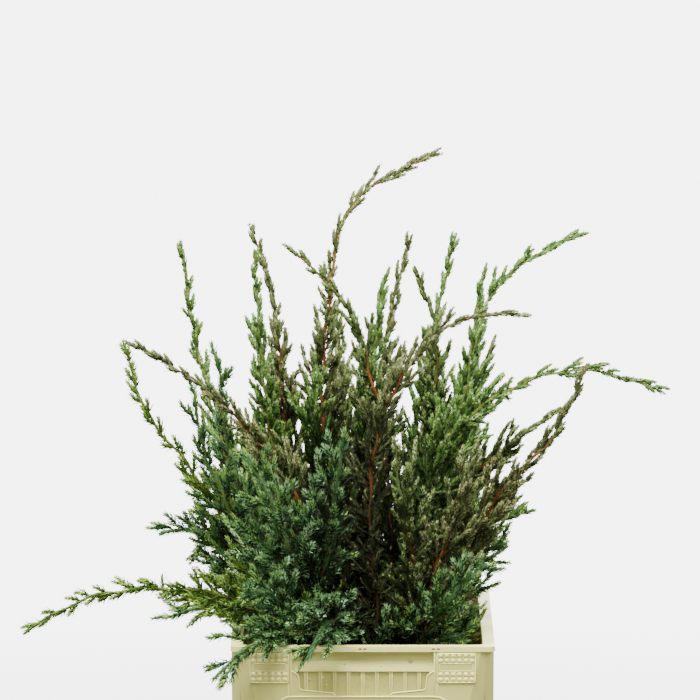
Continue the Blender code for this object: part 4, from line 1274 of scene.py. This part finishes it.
@dataclass(frozen=True)
class Bucket:
    """The bucket's finely modelled pieces. Lines and places are x and z on the front, in millimetres."""

    finish: PlasticFinish = PlasticFinish()
    front: float = -194.0
    pad_front: float = -194.8
    pad_span: tuple[float, float] = (81.8, 123.4)
    pad_rows: tuple[float, ...] = (275.4, 269.7, 254.4, 248.7)
    stud_pitch: float = 6.9
    studs_a_row: int = 6
    stud: tuple[float, float] = (2.6, 1.3)  # radius and height
    corner: float = 1.6  # how far a border's corners are cut back
    pad_border: tuple[float, ...] = (81.8, 123.4, 245.3, 277.2)
    bar_border: tuple[float, ...] = (84.0, 121.0, 257.9, 266.2)
    card_lip: Line = (
        (78.6, 257.5), (76.4, 256.9), (74.3, 255.6), (71.6, 253.6), (70.3, 251.0), (69.7, 244.0),
        (69.3, 238.2), (67.6, 236.9), (34.4, 233.5), (32.4, 232.9), (29.4, 230.1),
    )
    cheek: Line = ((78.4, 278.6), (78.4, 229.6))
    pad_stem: Line = ((81.8, 246.0), (81.8, 228.4))
    ledge: Line = (
        (-91.0, 222.6), (-88.5, 226.2), (-84.0, 228.6), (-79.0, 229.3),
        (79.0, 229.3), (84.0, 228.6), (88.5, 226.2), (91.0, 222.6),
    )
    rib_pitch: float = 15.5
    ribs: int = 9
    rib_edge: float = 1.5
    pocket: tuple[float, ...] = (-189.7, 229.5, 256.8)  # the ribs' front, and their foot and head
    slots: Line = ((-3.2, 282.6), (2.4, 282.6), (77.4, 282.6), (82.8, 282.6))
    drops: tuple[tuple[float, ...], ...] = (
        (52.2, 267.6, 2.5), (-1.4, 252.3, 1.5), (-58.2, 247.3, 1.5), (-44.4, 249.0, 1.6), (-41.0, 245.6, 1.2),
        (-40.0, 240.9, 1.1), (5.7, 249.2, 1.1), (-4.9, 244.2, 0.9), (-57.2, 271.3, 1.1), (39.1, 247.7, 0.9),
        (-44.1, 230.2, 1.1), (-35.0, 273.5, 0.8), (20.0, 262.0, 0.8), (-20.0, 264.5, 0.9), (61.0, 240.5, 0.9),
    )

    def shell(self) -> None:
        """Makes the bucket's own solid again with softened edges."""
        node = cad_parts["bucket"]
        data = node.data.copy()
        data.name = "bucket_shell"
        shape = bmesh.new()
        shape.from_mesh(data)
        bmesh.ops.remove_doubles(shape, verts=shape.verts, dist=0.00001)
        flat = math.radians(0.6)
        bmesh.ops.dissolve_limit(shape, angle_limit=flat, verts=shape.verts, edges=shape.edges)
        bmesh.ops.connect_verts_concave(shape, faces=shape.faces)
        shape.to_mesh(data)
        shape.free()
        data.polygons.foreach_set("use_smooth", np.ones(len(data.polygons), dtype=bool))
        made = bpy.data.objects.new("bucket_shell", data)
        bpy.context.scene.collection.objects.link(made)
        soften = made.modifiers.new("soften", "BEVEL")
        soften.width = 0.9 * MM
        soften.segments = 2
        soften.limit_method = "ANGLE"
        soften.angle_limit = math.radians(9)
        level = made.modifiers.new("level", "WEIGHTED_NORMAL")
        level.keep_sharp = False
        evaluated = made.evaluated_get(bpy.context.evaluated_depsgraph_get())
        result = bpy.data.meshes.new_from_object(evaluated)
        made.modifiers.clear()
        made.data = result
        made.data.materials.clear()
        made.data.materials.append(self.finish.make())
        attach(made, "root")
        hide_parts("bucket")
        LOG.info("%s: %d faces", made.name, len(made.data.polygons))

    def domes(self, centres: Array, radii: Array, heights: Array) -> Faces:
        """Low round domes on the front, which bulge towards -Y.

        Args:
            centres: Their middles on the surface, in millimetres.
            radii: How wide and how high each is, in millimetres, two to a dome.
            heights: How far each stands out.

        Returns:
            One mesh of quads.
        """
        sides, rings = 12, 5
        lean = np.linspace(0.0, 0.485 * np.pi, rings)[:, None]
        turn = (2 * np.pi * np.arange(sides) / sides)[None, :]
        out = -np.sin(lean) * np.ones(sides)
        dome = np.stack((np.cos(lean) * np.cos(turn), out, np.cos(lean) * np.sin(turn)), axis=-1)
        size = np.stack((radii[:, 0], heights, radii[:, 1]), axis=-1)
        points = (centres[:, None, :] + dome.reshape(-1, 3)[None] * size[:, None, :]).reshape(-1, 3)
        ring = np.arange(sides)
        after = (ring + 1) % sides
        band = np.stack((ring, after, after + sides, ring + sides), axis=-1)
        one = (band[None] + (np.arange(rings - 1) * sides)[:, None, None]).reshape(-1, 4)
        faces = (one[None] + (np.arange(len(centres)) * sides * rings)[:, None, None]).reshape(-1, 4)
        return Faces(points * MM, faces, np.zeros(len(faces), dtype=np.int32))

    def ridge(self, line: Line, y: float, radius: float) -> Faces:
        """A rounded ridge along a line on the front, closed at both ends."""
        flat = np.array(line)
        places = np.stack((flat[:, 0], np.full(len(flat), y), flat[:, 1]), axis=-1)
        start = places[0] - unit(places[1] - places[0]) * radius
        end = places[-1] + unit(places[-1] - places[-2]) * radius
        path = np.vstack((start, places, end)) * MM
        radii = np.concatenate(([0.02], np.full(len(places), radius), [0.02])) * MM
        return tubes(path[None], radii[None], 8)

    def border(self, box: tuple[float, ...], arm: int, y: float, radius: float) -> Faces:
        """A raised rectangle with cut corners on one pad."""
        left, right, low, high = box
        cut = self.corner
        line = (
            (left + 5.0, low), (right - cut, low), (right, low + cut), (right, high - cut),
            (right - cut, high), (left + cut, high), (left, high - cut), (left, low + cut),
            (left + cut, low), (left + 6.0, low),
        )
        return self.ridge(tuple((arm * x, z) for x, z in line), y, radius)

    def both_ends(self, name: str, front: list[Faces], material: bpy.types.Material) -> None:
        """Makes a piece of what stands on the front, and of the same turned round for the far side."""
        whole = Faces.joined(front)
        turned = Faces(whole.points * (-1.0, -1.0, 1.0), whole.faces, whole.slots)
        piece = new_piece(name, Faces.joined([whole, turned]), [material], smooth=True)

    def details(self) -> None:
        """The studs, the raised borders and the ridges of both short sides."""
        made = []
        row = (np.arange(self.studs_a_row) - (self.studs_a_row - 1) / 2) * self.stud_pitch
        for arm in (-1, 1):
            x, z = np.meshgrid(arm * sum(self.pad_span) / 2 + row, np.array(self.pad_rows), indexing="ij")
            centres = np.stack((x, np.full(x.shape, self.pad_front), z), axis=-1).reshape(-1, 3)
            radii = np.full((len(centres), 2), self.stud[0])
            made.append(self.domes(centres, radii, np.full(len(centres), self.stud[1])))
            made.append(self.border(self.pad_border, arm, self.pad_front, 0.8))
            made.append(self.border(self.bar_border, arm, self.pad_front, 0.5))
            for line, radius in ((self.card_lip, 0.8), (self.cheek, 0.6), (self.pad_stem, 0.6)):
                made.append(self.ridge(tuple((arm * x, z) for x, z in line), self.front, radius))
        made.append(self.ridge(self.ledge, self.front, 1.0))
        for middle in (np.arange(self.ribs) - (self.ribs - 1) / 2) * self.rib_pitch:
            for x in (middle - self.rib_edge, middle + self.rib_edge):
                y, low, high = self.pocket
                made.append(self.ridge(((x, low), (x, high)), y, 0.35))
        self.both_ends("bucket_ridges", made, self.finish.painted_ridge_highlight())

    def marks(self) -> None:
        """The worn slots in the lip at both ends, and the water drops on the front one."""
        slots = np.array(self.slots)
        places = np.stack((slots[:, 0], np.full(len(slots), -194.9), slots[:, 1]), axis=-1)
        size = np.tile((2.4, 1.0), (len(slots), 1))
        self.both_ends("lip_slots", [self.domes(places, size, np.full(len(slots), 0.3))], self.finish.worn())
        drops = np.array(self.drops)
        levels = (229.0, 229.5, 256.9, 257.0, 267.9, 268.0)  # from the ledge up the pocket and over the shelf
        depth = np.interp(drops[:, 1], levels, (-194.0, -188.5, -188.5, -191.0, -186.6, -186.5))
        places = np.stack((drops[:, 0], depth, drops[:, 1]), axis=-1)
        radii = np.stack((drops[:, 2], drops[:, 2] * 1.15), axis=-1)
        domes = self.domes(places, radii, drops[:, 2] * 0.7)
        piece = new_piece("water_drops", domes, [self.finish.wet()], smooth=True)

    def make(self) -> None:
        """Makes every piece of the bucket."""
        self.shell()
        self.details()
        self.marks()


# Stage


@dataclass(frozen=True)
class Lamp:
    """A rectangular lamp that looks at the crown."""

    name: str
    place: tuple[float, float, float]
    size: tuple[float, float]
    power: float

    def make(self, target: Array) -> None:
        """Hangs the lamp so that it faces the target."""
        light = bpy.data.lights.new(self.name, "AREA")
        light.energy = self.power
        light.shape = "RECTANGLE"
        light.size, light.size_y = self.size
        lamp = bpy.data.objects.new(self.name, light)
        bpy.context.scene.collection.objects.link(lamp)
        lamp.location = self.place
        aim = unit(target - np.array(self.place))
        lamp.rotation_euler = (math.acos(-aim[2]), 0.0, math.atan2(aim[1], aim[0]) - math.pi / 2)


@dataclass(frozen=True)
class Stage:
    """A white sweep lit from its own far side, a pale surround, soft light from above and the camera."""

    across: float = 80.0
    near: Colour = (0.62, 0.62, 0.61)  # the floor's own colour under the bucket
    fade: tuple[float, float] = (0.25, 1.6)  # from which distance it shines, and where fully
    shine: float = 6.0
    surround: float = 0.42
    target: tuple[float, float, float] = (0.0, 0.0, 0.4)
    lamps: tuple[Lamp, ...] = (
        Lamp("top", (-0.3, -0.95, 2.9), (1.4, 1.4), 240.0),
        Lamp("key", (-1.6, -2.4, 2.0), (1.0, 1.0), 45.0),
        Lamp("fill", (1.9, -1.3, 2.0), (1.0, 1.0), 45.0),
        Lamp("left", (-2.5, 0.9, 1.7), (1.2, 1.2), 45.0),
        Lamp("right", (2.5, 0.9, 1.7), (1.2, 1.2), 45.0),
        Lamp("back", (0.5, 2.4, 2.5), (1.2, 1.2), 125.0),
        Lamp("backdrop", (0.3, 5.0, 1.3), (6.0, 2.2), 200.0),
    )
    eye: tuple[float, float, float] = (-0.014, -7.995, 1.6957)
    dip: float = 7.9  # how far the camera looks down, in degrees
    lens: float = 36.0 * 7231 / 700  # its focal length over a sensor 36 mm wide

    def sweep(self) -> None:
        """Lays the floor, which is seen but lights nothing."""
        bpy.ops.mesh.primitive_plane_add(size=self.across, location=(0.0, 0.0, -0.0005))
        floor = bpy.context.object
        floor.name = "floor"
        paint = Surface("floor", self.near, 0.9)
        x, y, _z = paint.axes()
        far = ((x**2.0 + y**2.0) ** 0.5).ramp(*self.fade) ** 0.7
        paint.drive("Base Color", paint.blend(self.near, (0.0, 0.0, 0.0), far))
        paint.drive("Emission Color", paint.blend((0.0, 0.0, 0.0), (1.0, 1.0, 1.0), far))
        paint.set(Emission_Strength=self.shine, Specular_IOR_Level=0.0)
        floor.data.materials.append(paint.material)
        paint.material.cycles.emission_sampling = "NONE"
        floor.visible_diffuse = False
        floor.visible_glossy = False

    def light(self) -> None:
        """Sets the pale surround and hangs the lamps."""
        world = bpy.data.worlds.new("surround")
        world.use_nodes = True
        world.node_tree.nodes["Background"].inputs[0].default_value = (1.0, 1.0, 1.0, 1.0)
        world.node_tree.nodes["Background"].inputs[1].default_value = self.surround
        bpy.context.scene.world = world
        for lamp in self.lamps:
            lamp.make(np.array(self.target))

    def camera(self) -> None:
        """Sets the camera where the photo was taken from."""
        lens = bpy.data.cameras.new("camera")
        lens.sensor_width = 36.0
        lens.lens = self.lens
        lens.clip_end = 100.0
        camera = bpy.data.objects.new("camera", lens)
        bpy.context.scene.collection.objects.link(camera)
        camera.location = self.eye
        camera.rotation_euler = (math.radians(90 - self.dip), 0.0, 0.0)
        bpy.context.scene.camera = camera

    def make(self) -> None:
        """Makes the floor, the light and the camera."""
        self.sweep()
        self.light()
        self.camera()


def main() -> None:
    """Builds the scene."""
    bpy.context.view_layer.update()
    grower = Grower(SEED)
    crown = Crown(grower)
    for bough in BOUGHS:
        for order in range(len(bough.masses)):
            crown.grow(bough, order)
        crown.grow_collar(bough)
    triangles = crown.make() + Limbs().make(grower.chance)
    LOG.info("foliage and wood: %d triangles", triangles)
    Bucket().make()
    Stage().make()


if __name__ == "__main__":
    main()
